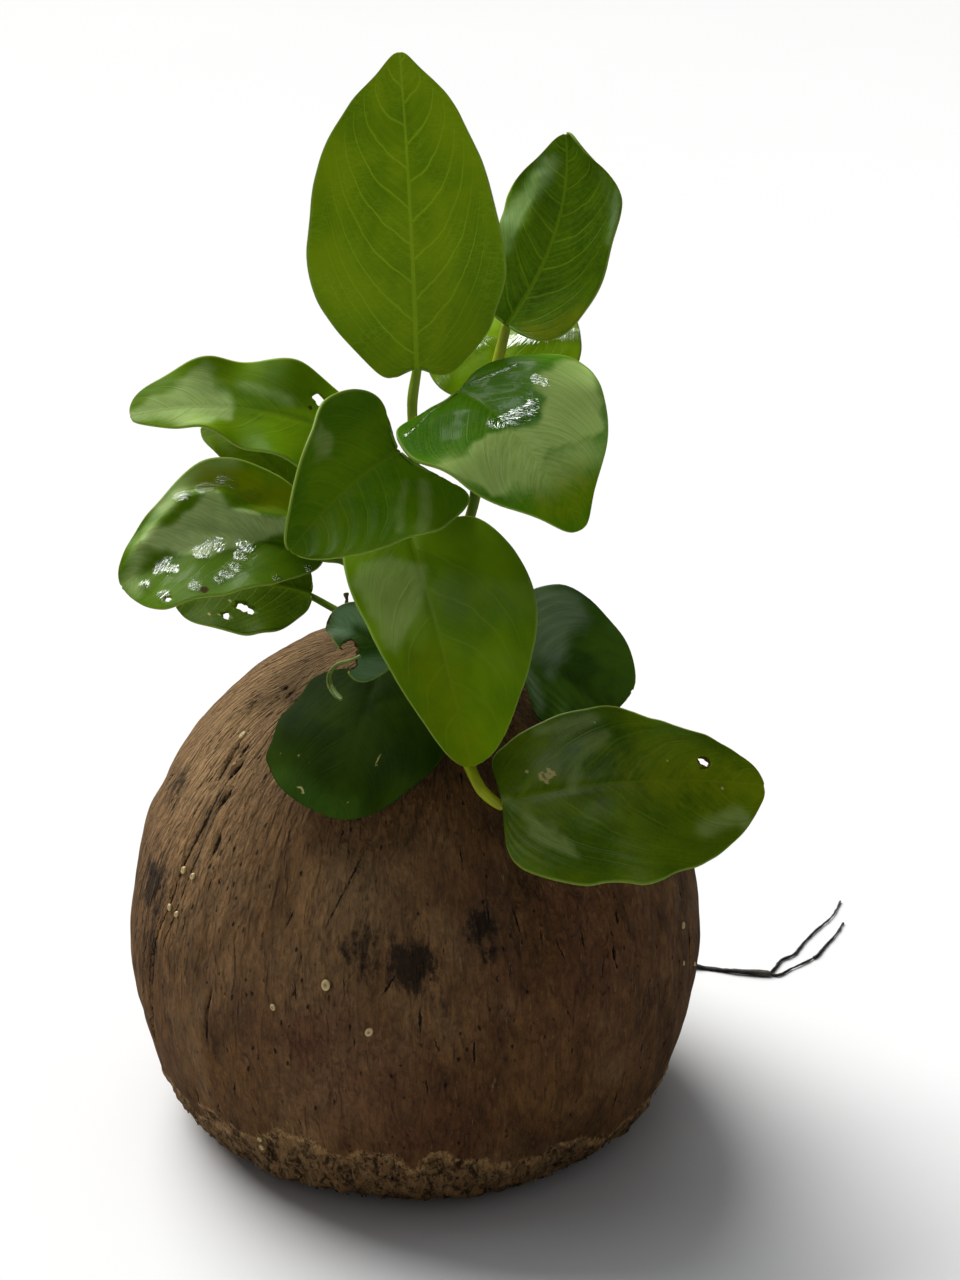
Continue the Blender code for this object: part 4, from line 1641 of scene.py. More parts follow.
    def marked(self, mark: Mark, flat: Array) -> Array:
        """Strength of one kind of mark.

        Args:
            mark: Kind to read.
            flat: Places on the flattened blade.

        Returns:
            One value per place.
        """
        total = np.zeros(len(flat))
        for stroke in self.strokes:
            if stroke.mark is not mark:
                continue
            along, across = np.array(stroke.path).T
            line = self.plan(across, along)
            if len(line) == 1:
                line = np.vstack([line, line + 0.01])
            far = nearest_on_line(flat, line, stroke.area)[0]
            if stroke.area:
                spots = np.column_stack([flat, np.full(len(flat), 3.3)])
                far = np.where(inside_line(flat, line), -far, far)
                far += Relief(self.seed + 90, stroke.ragged, (5.0, 5.0, 1.0), 3).over(spots)
                value = stroke.strength * (1.0 - ease(-stroke.width, stroke.width, far))
            else:
                value = stroke.strength * np.exp(-((far / stroke.width) ** 2))
            total = total + value if mark is Mark.RIDGE else np.maximum(total, value)
        return total

    def rib_count(self, flat: Array, reach: Array) -> Array:
        """Count of main veins up to each point; those of the lobes fan out of the base.

        Args:
            flat: Places on the flattened blade.
            reach: Shares of the way from midrib to margin.

        Returns:
            One count per place.
        """
        beside = np.abs(flat[:, 0])
        climb = self.rib_slope * beside * (0.8 + 1.5 * reach**2.5)
        start = flat[:, 1] - climb
        fan = -2.4 * np.maximum(0.0, -start) / np.maximum(beside, 0.6)
        stagger = np.where(flat[:, 0] > 0, 0.4, 0.0)
        return np.where(start > 0, start / self.length * self.ribs, fan) + stagger + 0.15

    def centre(self, hole: Hole) -> Array:
        """Place of a hole on the flattened blade."""
        return self.plan(np.array([hole.across]), np.array([hole.along]))[0]

    def open_holes(self, bm: Mesh, across: dict, along: dict) -> None:
        """Cut the holes and round their edges.

        Args:
            bm: Flat grid.
            across: Share across of each point, which this changes.
            along: Share along of each point, likewise.
        """
        for count, hole in enumerate(self.holes):
            centre, verts = self.centre(hole), list(across)
            flat = self.plan(*(np.array([shares[v] for v in verts]) for shares in (across, along)))
            where = dict(zip(verts, flat - centre))
            gone = [
                face
                for face in bm.faces
                if np.linalg.norm(sum(where[v] for v in face.verts) / len(face.verts)) < hole.radius
            ]
            touched = {v for face in gone for v in face.verts}
            bmesh.ops.delete(bm, geom=gone, context="FACES")
            left = set(bm.verts)
            for vert in verts:
                if vert not in left or not vert.is_valid:
                    del across[vert], along[vert]
            for vert in touched & left:
                angle = math.atan2(where[vert][1], where[vert][0])
                uneven = 0.22 * math.sin(2 * angle + count)
                uneven += 0.14 * math.sin(5 * angle + 2.0 * count)
                way = where[vert] / max(np.linalg.norm(where[vert]), 1e-6)
                spot = centre + way * hole.radius * (1 + uneven)
                side = self.right if spot[0] > 0 else self.left
                share = np.array([min(1.0, max(0.0, spot[1] / self.length))])
                across[vert] = float(spot[0] / self.half_width(side, share)[0])
                along[vert] = float(share[0])

    def build_blade(self, finish: LeafFinish) -> Piece:
        """Bend a grid into the blade, open its holes and dress it.

        Args:
            finish: Finish of both sides.

        Returns:
            The piece.
        """
        bm = bmesh.new()
        columns = 2 * max(16, int((max(self.left) + max(self.right)) / self.cell / 2))
        verts, sides, shares = bent_grid(bm, columns, max(40, int(self.length / self.cell)))
        across = dict(zip(verts, sides.tolist()))
        along = dict(zip(verts, ((1 - np.cos(math.pi * shares)) / 2).tolist()))
        self.open_holes(bm, across, along)
        verts = list(across)
        s, t = np.array(list(across.values())), np.array(list(along.values()))
        flat = self.plan(s, t)
        rib = self.rib_count(flat, np.abs(s))
        put(verts, self.place(s, t, flat, rib))
        notes = {mark.value: self.marked(mark, flat) for mark in Mark if mark is not Mark.RIDGE}
        for hole in (hole for hole in self.holes if hole.burnt > 0):
            far = np.linalg.norm(flat - self.centre(hole), axis=1)
            burnt = 1.0 - ease(hole.radius, hole.radius + hole.burnt, far)
            notes["scar"] = np.maximum(notes["scar"], burnt)
        notes["leaf"] = np.column_stack([flat, np.full(len(flat), float(self.seed * 7))])
        notes["edge"] = np.abs(s)
        notes["rib"] = rib
        notes["rib_width"] = 0.1 + 0.38 * (1 - t) ** 1.3
        note(bm, verts, notes)
        bm.normal_update()
        outward = Vector(self.frame(np.array([0.5]))[3][0])
        if sum(face.normal.dot(outward) for face in bm.faces) < 0:
            bmesh.ops.reverse_faces(bm, faces=bm.faces[:])
        finishes = [finish.material(), finish.underside()]
        blade = add_piece(bm, f"blade_{self.name}", finishes, self.slot, (f"leaf_{self.name}",))
        skin = blade.modifiers.new("thickness", "SOLIDIFY")
        skin.thickness = self.thickness * MM
        skin.offset = 0.0
        skin.material_offset = 1
        return blade

    def build_stalk(self, rhizome: Rhizome) -> Piece:
        """Roll the stalk from the rhizome into the back of the midrib.

        Args:
            rhizome: Stem that it grows from.

        Returns:
            The piece.
        """
        spot, run, _, outward = (row[0] for row in self.frame(np.array([0.0])))
        thick = self.stalk_radius
        foot = rhizome.spot(*self.grows_from, lift=-0.6)
        first = rhizome.spot(*self.grows_from)
        head = spot - run * 0.8 - outward * (thick + 0.3)
        knee, _, _, out = (row[0] for row in self.frame(np.array([0.07])))
        joint = spot + run * 0.8 - outward * (thick * 0.75 + 0.2)
        end = knee - out * (thick * 0.3 + 0.55)
        points = (tuple(foot), tuple(first), *self.stalk_via, tuple(head), tuple(joint), tuple(end))
        middle = [thick] * len(self.stalk_via)
        radii = (thick * 1.5, thick * 1.35, *middle, thick * 0.92, thick * 0.7, thick * 0.3)

        def channel(distance: Array, angle: Array) -> Array:
            """Groove down the stalk, and slight unevenness."""
            spots = np.column_stack([np.cos(angle), np.sin(angle), distance])
            groove = 0.14 * np.exp(-(((angle - math.pi) / 0.5) ** 2))
            return thick * (Relief(self.seed + 60, 0.09, (1.0, 1.0, 7.0)).over(spots) - groove)

        bm = bmesh.new()
        tube = Tube(Route(points, radii), sides=24, step=0.4, round_start=0.4, round_end=1.2)
        tube.build(bm, channel)
        deep = tuple(part * 0.6 for part in self.stalk_tint)
        finish = StalkFinish(f"stalk {self.name}", self.stalk_tint, deep).material()
        return add_piece(bm, f"stalk_{self.name}", [finish], "leaf_stalk", (f"stem_{self.name}",))


def leaf_finishes() -> dict[str, LeafFinish]:
    """Finishes of the blades, by name of leaf."""
    bright, green = tint(140, 172, 24), tint(116, 142, 24)
    rows = (
        # name, body, deep, vein, show of the veins and the net, roughness, shine, share of the
        # painted sheen
        ("crown", (122, 152, 0), (92, 130, 0), bright, 0.7, 0.32, 0.5, 0.08, 0.5),
        ("upper_right", (78, 112, 0), (50, 84, 0), bright, 0.28, 0.04, 0.34, 0.14, 0.8),
        ("back", (130, 164, 0), (100, 140, 0), bright, 0.35, 0.1, 0.3, 0.2, 0.5),
        ("upper_left", (102, 138, 0), (76, 114, 0), green, 0.3, 0.06, 0.4, 0.05, 0.8),
        ("behind_left", (98, 126, 0), (70, 98, 0), green, 0.35, 0.15, 0.4, 0.09, 0.6),
        ("glossy_left", (88, 126, 0), (66, 104, 0), green, 0.22, 0.08, 0.4, 0.08, 0.85),
        ("lowest_left", (66, 90, 0), (48, 74, 0), green, 0.3, 0.1, 0.4, 0.04, 0.5),
        ("centre", (86, 124, 0), (58, 102, 0), green, 0.25, 0.06, 0.36, 0.1, 0.5),
        ("glossy_right", (56, 112, 0), (36, 94, 0), bright, 0.08, 0.03, 0.4, 0.06, 0.85),
        ("front", (106, 142, 0), (80, 118, 0), green, 0.4, 0.06, 0.4, 0.05, 0.62),
        ("lower_right", (82, 104, 0), (46, 74, 0), green, 0.16, 0.05, 0.36, 0.08, 0.5),
    )
    made = {}
    for name, body, deep, vein, vein_show, net_show, roughness, shine, painted_sheen_share in rows:
        made[name] = LeafFinish(
            f"leaf {name}", tint(*body), tint(*deep), vein, vein_show=vein_show, net_show=net_show,
            roughness=roughness, shine=shine, painted_sheen_share=painted_sheen_share,
        )
    # Colours of the painted sheen, by leaf
    painted_sheens = {
        "upper_right": (150, 182, 110),
        "upper_left": (166, 190, 116),
        "glossy_left": (188, 210, 138),
        "glossy_right": (166, 190, 106),
    }
    for name, film in painted_sheens.items():
        made[name] = replace(made[name], film=tint(*film))
    made["dark_round"] = LeafFinish(
        "leaf dark round", tint(76, 112, 12), tint(44, 74, 4), tint(74, 108, 44),
        margin=tint(40, 66, 34), film=tint(126, 146, 114), vein_show=0.14, net_show=0.05,
        roughness=0.38, shine=0.15, glow=0.1, painted_sheen_share=0.8,
    )
    made["dark_drooping"] = LeafFinish(
        "leaf dark drooping", tint(44, 66, 0), tint(26, 44, 0), tint(50, 72, 8),
        margin=tint(34, 58, 22), film=tint(62, 96, 34), vein_show=0.04, net_show=0.03,
        roughness=0.6, shine=0.03, glow=0.08,
    )
    made["young_torn"] = LeafFinish(
        "leaf young", tint(58, 96, 14), tint(36, 70, 6), tint(96, 126, 50),
        film=tint(120, 156, 112), vein_show=0.15, net_show=0.05, roughness=0.38, shine=0.2,
        painted_sheen_share=0.75,
    )
    return made


def brush(mark: Mark) -> Callable[..., Stroke]:
    """Brush for one kind of mark.

    Args:
        mark: What its strokes do.

    Returns:
        Function that takes a stroke's width, its strength and its points.
    """

    def draw(width: float, strength: float, *path: Pair, **area: float) -> Stroke:
        """Draw a stroke, or with area=True fill one in."""
        return Stroke(mark, path, width, strength, **area)

    return draw


def spots(draw: Callable[..., Stroke], strength: float, *places: Triple) -> tuple[Stroke, ...]:
    """Small round marks of one kind, by share along, share across and radius."""
    return tuple(draw(radius, strength, (along, across)) for along, across, radius in places)


def leaves() -> Iterator[Leaf]:
    """The fourteen leaves, top to bottom."""
    ridge, film, scar, pale, blush, wrinkle, wet = map(brush, Mark)
    yield Leaf(
        "crown", "leaf_bright", (1, 8, 160), (-2, 18, 221), (0.5, -4, 0), (0.05, -1, 0.15),
        (13, 20.2, 20, 16.8, 8.6), (13, 18, 17, 13.8, 7.2), 2.0, 0.3, (2.6, 2.4), (1.0, 10),
        ((0.5, 0, 122), (0.5, 3, 138), (0, 7, 152.5)), 1.1, ribs=8.2, rib_slope=1.1, ripple=0.25,
        lobe_at=0.02, point=0.4, seed=1, stalk_tint=tint(150, 182, 40),
    )
    yield Leaf(
        "upper_right", "leaf_green", (19, 21, 165), (31, 36, 200.5), (4, 0, 0), (-0.3, -0.9, 0.3),
        (7, 10, 11.6, 11, 5.4), (10.8, 13.2, 12.8, 11.8, 4.2), 2.0, 0.6, (1.5, 1.5), (1.8, -40),
        ((8, 2, 118), (12.5, 8, 132.5), (15, 14, 149)), 1.1, ribs=7.0, rib_slope=0.75, seed=2,
        stalk_tint=tint(150, 162, 30),
        strokes=(
            film(2.6, 0.78, (0.32, -0.9), (0.45, -0.82), (0.58, -0.7), (0.72, -0.55), (0.84, -0.5)),
            film(0.8, 1.0, (0.4, -0.72), (0.52, -0.66), (0.62, -0.55)),
            film(1.0, 0.5, (0.5, 0.95), (0.62, 0.9), (0.72, 0.95)),
            blush(3.0, 0.62, (0.03, 0.7), (0.1, 0.85), (0.2, 0.95)),
            ridge(2.2, 1.2, (0.45, -0.45), (0.75, -0.5)),
        ),
        rolls=(Roll(-1, 0.3, 0.75, -1.6), Roll(1, 0.6, 0.85, -1.5), Roll(1, 0.9, 1.0, 2.5, 0.8)),
    )
    yield Leaf(
        "back", "leaf_bright", (19, 18, 150), (18, 42, 163), (0, 0, 4), (0, -0.5, 0.85),
        (13, 16.5, 15.5, 11, 6), (12, 15.5, 15.5, 13.5, 7.5), 1.5, 0.5, (1.5, 1.5), (0.9, -55),
        ((8, 8, 116), (13, 13, 132), (16.5, 16, 142)), 1.0, ripple=0.6, seed=3,
        strokes=(
            wrinkle(
                1.7, 1.0, (0.12, -0.95), (0.25, -0.7), (0.38, -0.3), (0.42, 0.2), (0.45, 0.7),
                (0.42, 1.0),
            ),
        ),
    )
    yield Leaf(
        "upper_left", "leaf_bright", (-12, 2, 147), (-55, -4, 154), (0, 0, 4), (-0.1, -0.5, 0.85),
        (11, 13, 10, 7, 4), (9.4, 12.8, 12, 10.8, 7.2), 1.5, 1.7, (1.5, 1.5), (0.55, 45),
        ((-3, 1, 120), (-5, 1, 132), (-9, 2, 142)), 1.0, ribs=6.0, wave_count=2.7,
        wave_phase=(2.4, 2.8), seed=4,
        strokes=(
            film(
                2.2, 1.0, (0.7, -0.9), (0.56, -0.3), (0.56, 0.3), (0.66, 0.85), (1.0, 1.0),
                (1.0, -1.0), area=True,
            ),
            film(2.0, 0.5, (0.3, 0.3), (0.5, 0.5)), scar(0.6, 1.0, (0.208, 0.325)),
        ),
        holes=(Hole(0.19, 0.55, 1.4, 0),),
    )
    yield Leaf(
        "behind_left", "leaf_bright", (-21, 13, 127), (-43, 15, 145), (0, 0, 4), (-0.1, -0.5, 0.85),
        (5, 7, 7, 6, 4), (5, 8, 8, 6, 4), 1.0, 0.5, (1.0, 1.0), (0.25, 55),
        ((-8.5, 9, 114.5), (-14, 11, 121)), 0.9, seed=5,
        strokes=(
            *spots(scar, 1.0, (0.317, -0.125, 0.7), (0.242, -0.15, 0.7)),
            film(1.8, 1.0, (0.183, -0.15), (0.1, -0.3)), film(3.0, 0.4, (0.7, -0.5), (0.9, 0.2)),
        ),
    )
    yield Leaf(
        "glossy_left", "leaf_bright", (-18, -4, 125), (-57, -14, 122), (0, 0, 6),
        (-0.15, -0.6, 0.8), (6, 12, 14.4, 12.4, 10.4), (8, 16, 17.2, 12, 6), 3.0, 0.8, (1.5, 1.5),
        (1.35, 60), ((-5.5, -5.5, 116), (-9, -6, 121), (-14, -5, 124)), 0.9, ripple=0.7, wobble=0.5,
        seed=6,
        strokes=(
            ridge(
                2.2, 2.0, (0.85, 0.5), (0.61, 0.62), (0.475, 0.52), (0.44, 0.32), (0.35, 0.27),
                (0.1, 0.4),
            ),
            film(
                1.3, 1.0, (0.66, 0.42), (0.56, 0.5), (0.48, 0.6), (0.44, 0.35), (0.31, 0.28),
                (0.16, 0.4), (0.17, 0.2), (0.3, 0.02), (0.48, -0.12), (0.57, -0.25), (0.66, -0.1),
                (0.74, 0.2), (0.88, 0.5), (0.82, 0.68), area=True, ragged=0.9,
            ),
            film(2.4, 0.5, (0.78, 0.55), (0.9, 0.35), (0.96, 0.0), (0.95, -0.4)),
            film(2.6, 0.6, (0.7, 0.85), (0.55, 0.9), (0.42, 0.95)),
            blush(3.8, 0.8, (0.5, 0.8), (0.36, 0.75), (0.28, 0.55), (0.2, 0.8)),
            *spots(
                wrinkle, 1.0, (0.8, -0.1, 2.2), (0.77, -0.25, 1.6), (0.92, -0.35, 1.6),
                (0.86, -0.72, 1.5), (0.7, -0.75, 1.6), (0.57, -0.72, 1.4), (0.52, -0.6, 2.0),
                (0.46, -0.5, 2.0), (0.42, -0.3, 1.8), (0.6, -0.1, 2.4), (0.53, -0.02, 2.4),
                (0.38, -0.1, 2.2), (0.27, -0.93, 1.4), (0.1, -0.85, 1.2), (0.52, 0.66, 2.2),
                (0.43, 0.72, 2.2), (0.39, 0.5, 2.0), (0.61, 0.7, 1.6), (0.34, 0.6, 1.8),
            ),
            scar(1.1, 1.0, (0.667, -0.88)),
            wet(
                1.5, 1.0, (0.95, -0.6), (0.5, -0.9), (0.05, -0.9), (0.2, -0.4), (0.6, -0.4),
                (0.95, -0.2), area=True,
            ),
        ),
        holes=(Hole(0.85, -0.82, 0.7, 0),),
    )
    yield Leaf(
        "lowest_left", "leaf_green", (-21, 6, 112.5), (-48, 0, 112), (0, 0, 3), (-0.05, -0.5, 0.85),
        (6.5, 12.3, 13.4, 11.2, 6.6), (6, 8, 8, 7, 4), 1.0, 0.6, (1.0, 1.0), (0.7, 75),
        ((-9, 1, 109.5), (-14, 4, 108.8)), 0.75, seed=7,
        holes=(Hole(0.54, -0.44, 1.3, 0), Hole(0.49, -0.52, 1.0, 0), Hole(0.683, -0.625, 0.9, 0)),
        strokes=spots(pale, 1.0, (0.8, -0.6, 0.5), (0.62, -0.3, 0.5), (0.74, -0.62, 0.4)),
    )
    yield Leaf(
        "centre", "leaf_green", (-2.5, -10.5, 149), (-22, -38, 139), (0, 0, 2), (0.4, -0.6, 0.66),
        (15.4, 17.8, 15, 12, 7), (11.5, 15.5, 12, 8.5, 4), 3.0, 0.5, (9.4, 6.0), (2.0, 35),
        ((0, -9, 121), (-2.5, -7, 133), (-3.5, -6.5, 143)), 1.0, ribs=6.0, rib_slope=0.7, quilt=0.2,
        seed=8,
        strokes=(
            film(2.0, 0.9, (0.4, 0.95), (0.38, 0.65), (0.47, 0.55), (0.57, 0.75), area=True),
            film(1.6, 0.9, (0.15, -0.5), (0.3, -0.75), (0.42, -0.95)),
            film(1.2, 0.6, (0.2, -0.35), (0.4, -0.6), (0.5, -0.85)),
        ),
        rolls=(Roll(1, 0.1, 0.95, 1.0, 0.2),),
    )
    yield Leaf(
        "glossy_right", "leaf_green", (9.5, -7, 160), (32.5, -30, 140), (0, 0, 5),
        (0.1, -0.6, 0.78), (14, 21, 20, 15, 6), (16, 20, 18, 14, 6), 2.0, 0.6, (4.0, 4.0),
        (2.2, -20), ((7, -4.5, 119), (10.5, -1.5, 128.5), (12.5, 0, 136), (12, -1, 148)), 1.0,
        ribs=7.0, ripple=0.5, quilt=0.03, seed=9,
        strokes=(
            film(
                1.6, 1.0, (0.45, 1.0), (0.45, 0.83), (0.46, 0.62), (0.42, 0.45), (0.42, 0.35),
                (0.39, 0.25), (0.44, 0.12), (0.45, 0.0), (0.48, -0.12), (0.48, -0.27),
                (0.46, -0.35), (0.42, -0.45), (0.35, -0.42), (0.29, -0.52), (0.29, -0.62),
                (0.3, -0.8), (0.33, -0.97), (0.47, -1.0), (0.7, -0.97), (0.7, -0.75), (0.66, -0.35),
                (0.64, -0.07), (0.68, 0.07), (0.72, 0.48), (0.72, 0.9), (0.6, 1.0), area=True,
                ragged=1.2,
            ),
            blush(6.0, 0.5, (0.85, -0.6), (0.88, 0.4)),
            film(4.5, 0.7, (0.5, 0.9), (0.62, 0.6), (0.74, 0.1), (0.72, -0.6)),
            wrinkle(2.0, 1.0, (0.37, 0.08), (0.41, -0.12), (0.42, -0.3)),
            wrinkle(1.4, 0.8, (0.31, -0.52), (0.35, -0.55)),
            wrinkle(0.7, 0.7, (0.17, 0.9), (0.07, 0.58), (0.03, 0.33)),
            wrinkle(0.6, 0.7, (0.05, -0.25), (0.14, -0.42), (0.19, -0.62)),
            wet(
                1.5, 1.0, (0.0, 1.0), (0.3, 0.7), (0.38, 0.3), (0.4, 0.0), (0.4, -0.35),
                (0.3, -0.5), (0.25, -1.0), (0.0, -1.0), area=True,
            ),
        ),
        rolls=(Roll(-1, 0.0, 0.45, -3.5, 0.5),),
    )
    yield Leaf(
        "front", "leaf_bright", (0, -16, 134), (12, -48, 99), (0, -3, 3), (0.05, -0.75, 0.6),
        (14, 19, 19, 15, 8), (13, 14, 12, 9, 5), 2.0, 0.4, (4.0, 4.0), (2.8, 10),
        ((6, -13, 118), (3, -12, 128)), 1.1, ribs=5.0, rib_slope=1.0, seed=10,
        strokes=(
            film(
                2.0, 1.0, (0.16, 0.75), (0.1, 0.4), (0.17, -0.05), (0.26, 0.0), (0.33, 0.1),
                (0.39, 0.35), (0.48, 0.55), (0.54, 0.78), (0.5, 0.88), (0.38, 0.85), (0.24, 0.92),
                area=True, ragged=1.0,
            ),
            blush(7.0, 0.45, (0.6, 0.3), (0.95, 0.1)),
        ),
    )
    yield Leaf(
        "lower_right", "leaf_deep", (18, -45, 90), (69, -34, 88), (0, -3, 4), (0.1, -0.65, 0.75),
        (12, 16, 15.4, 11.6, 6.8), (15, 20, 21, 17.2, 8.8), -1.0, 1.4, (4.0, 4.0), (3.75, 15),
        ((10, -28, 107.5), (10, -38, 99.5), (13.5, -43.5, 92.5)), 1.2, ribs=5.0, quilt=0.1,
        wobble=1.1, seed=11, stalk_tint=tint(165, 178, 10),
        strokes=(
            pale(0.45, 1.0, (0.165, -0.2), (0.175, -0.3)),
            pale(0.45, 1.0, (0.18, -0.14), (0.19, -0.2), (0.205, -0.32)),
            pale(0.26, 1.0, (0.205, -0.2), (0.225, -0.3)),
            pale(0.26, 0.9, (0.19, -0.2), (0.215, -0.22)),
            *spots(
                pale, 1.0, (0.135, -0.4, 0.45), (0.22, -0.5, 0.35), (0.4, -0.8, 0.45),
                (0.63, -0.3, 0.4), (0.83, 0.1, 0.4),
            ),
            film(1.8, 0.62, (0.26, 0.0), (0.3, -0.35), (0.42, -0.6)),
            film(1.8, 0.8, (0.01, -0.07), (0.14, 0.2), (0.27, 0.75), (0.12, 0.55), area=True),
            film(2.2, 0.8, (0.74, 0.6), (0.88, 0.6), (0.9, 0.85)),
            film(1.8, 0.6, (0.22, -0.9), (0.4, -0.85)), blush(8.0, 0.42, (0.5, 0.0), (0.95, 0.1)),
            scar(0.45, 0.75, (0.79, -0.48), (0.79, -0.3), (0.76, -0.25)),
        ),
        holes=(Hole(0.775, -0.4, 0.95, 0.5),),
    )
    yield Leaf(
        "dark_round", "leaf_dark", (22, -15, 105.5), (43.8, -15, 100), (0, 0, 3), (0.1, -0.75, 0.6),
        (13, 16, 13.6, 10, 5.4), (11, 13, 14.5, 14.5, 10), 1.0, 0.8, (1.0, 1.0), (3.0, -65),
        ((17.5, -12.5, 107),), 0.9, ribs=6.0, quilt=0.25, seed=12,
        strokes=(
            film(
                4.0, 1.0, (0.2, -1.0), (0.4, -1.0), (0.5, -0.68), (0.42, -0.17), (0.24, 0.15),
                (0.1, -0.3), area=True,
            ),
            film(2.0, 0.7, (0.05, 0.3), (0.15, 0.75)),
            *spots(pale, 0.7, (0.6, -0.35, 0.3), (0.45, 0.1, 0.3), (0.75, 0.3, 0.25)),
            ridge(1.6, -0.6, (0.25, 0.1), (0.7, 0.4)),
        ),
    )
    yield Leaf(
        "dark_drooping", "leaf_dark", (-6, -20, 107.5), (-14, -48, 88), (0, -3, 3),
        (-0.2, -0.65, 0.73), (10, 15, 17.5, 14.5, 9), (13, 16, 17.6, 17.6, 12.4), -3.0, 0.5,
        (1.5, 1.5), (2.5, 80), ((-2, -15, 109.5),), 0.9, ribs=6.0, wobble=0.9, seed=13,
        strokes=(
            *spots(
                pale, 0.75, (0.667, 0.825, 0.5), (0.683, 0.6, 0.55), (0.72, 0.45, 0.3),
                (0.82, 0.5, 0.3), (0.9, -0.2, 0.35),
            ),
            pale(0.35, 0.7, (0.88, 0.68), (0.87, 0.62), (0.9, 0.6), (0.91, 0.66)),
            pale(0.4, 0.6, (0.6, -0.33), (0.68, -0.36)),
            film(4.5, 0.7, (0.85, 0.9), (0.97, 0.2), (0.97, -0.4)),
        ),
    )
    yield Leaf(
        "young_torn", "leaf_deep", (-3, -26.5, 111), (-16.5, -20, 116), (0, 0, 2), (0, -0.7, 0.7),
        (7.4, 8.4, 5.6, 4, 2), (3, 4, 6, 6, 4), 1.0, 0.4, (0.5, 0.5), (3.0, 70),
        ((2.5, -22, 110.5),), 0.7, ribs=5.0, cell=0.25, quilt=0.0, wobble=0.8, seed=14,
        strokes=(
            film(2.6, 1.0, (0.45, 0.8), (0.8, 0.5), (0.75, 0.0)),
            film(2.8, 1.0, (0.02, -0.6), (0.2, -0.7), (0.34, -0.9)),
            scar(0.5, 0.7, (0.98, 0.3), (0.97, 0.9)),
        ),
        holes=(Hole(0.52, -0.7, 1.9, 0.25), Hole(0.46, -1.05, 2.6, 0.25)),
    )


# Small scraps


@dataclass
class TornStrip:
    """Strip that has torn off the young leaf and curled forward."""

    path: tuple[Triple, ...] = (
        (-9.5, -31, 114.5), (-11.5, -30.5, 113.3), (-14, -29.5, 112), (-15.5, -30, 110.3),
        (-15.5, -31, 108.5), (-14.5, -33, 107.5), (-13, -35, 107),
    )
    half_widths: tuple[float, ...] = (0.16, 0.18, 0.24, 0.4, 0.55, 0.55, 0.35)
    facing: Triple = (0.35, -1.0, 0.35)
    columns: int = 14
    rows: int = 80
    thickness: float = 0.4

    def build(self) -> Piece:
        """Bend a narrow strip that cups along its length."""
        bm = bmesh.new()
        verts, across, along = bent_grid(bm, self.columns, self.rows)
        centres, widths, run = Route(self.path, self.half_widths).sample(self.rows + 1)
        ahead = unit(np.gradient(centres, axis=0))
        aside = unit(np.cross(ahead, np.array(self.facing)))
        outward = np.cross(aside, ahead)
        row = np.rint(along * self.rows).astype(int)
        reach = across * widths[row]
        cup = 0.5 * widths[row] * across**2
        put(verts, centres[row] + aside[row] * reach[:, None] + outward[row] * cup[:, None])
        notes = {mark.value: np.zeros(len(row)) for mark in Mark if mark is not Mark.RIDGE}
        notes["leaf"] = np.column_stack([reach, run[row], np.zeros(len(row))])
        notes["edge"] = np.abs(across) * 0.9
        notes["rib"] = run[row] / 3.0
        notes["rib_width"] = np.full(len(row), 0.05)
        note(bm, verts, notes)
        finish = LeafFinish(
            "torn strip", tint(100, 126, 44), tint(62, 92, 20), tint(140, 156, 84), roughness=0.45,
        )
        strip = add_piece(bm, "torn_strip", [finish.material()], "torn_strip", ("leaf_young_curl",))
        skin = strip.modifiers.new("thickness", "SOLIDIFY")
        skin.thickness = self.thickness * MM
        skin.offset = 0.0
        return strip


@dataclass
class DriedStalk:
    """Thin dead stalk that ends in a small knob."""

    path: tuple[Triple, ...] = (
        (-6, -3, 110.5), (-10, -6, 112.5), (-13, -8, 115), (-13, -8, 117), (-13.2, -8, 118.3),
    )
    radii: tuple[float, ...] = (0.55, 0.34, 0.28, 0.34, 0.75)
    wrinkles: Relief = Relief(71, 0.2, (1.0, 1.0, 1.1), 3)

    def build(self) -> Piece:
        """Roll the stalk with its wrinkled knob."""
        bm = bmesh.new()
        route = Route(self.path, self.radii)
        Tube(route, sides=18, step=0.2, round_start=0.6, round_end=0.9).build(bm, self.shrivel)
        finish = BarkFinish(
            "dried stalk skin", tint(74, 60, 38), tint(40, 30, 20), tint(96, 82, 52), 0.8,
        )
        return add_piece(bm, "dried_stalk", [finish.material()], "dried_stalk", ("stalk_dried",))

    def shrivel(self, run: Array, angle: Array) -> Array:
        """Wrinkles of the dead skin."""
        return self.wrinkles.over(np.column_stack([np.cos(angle) * 1.2, np.sin(angle) * 1.2, run]))


# Studio


@dataclass(frozen=True)
class Lamp:
    """A square lamp over the plant: metres across, watts, and metres from the shell's axis."""

    name: str
    width: float
    energy: float
    place: Triple
    mirrored: bool


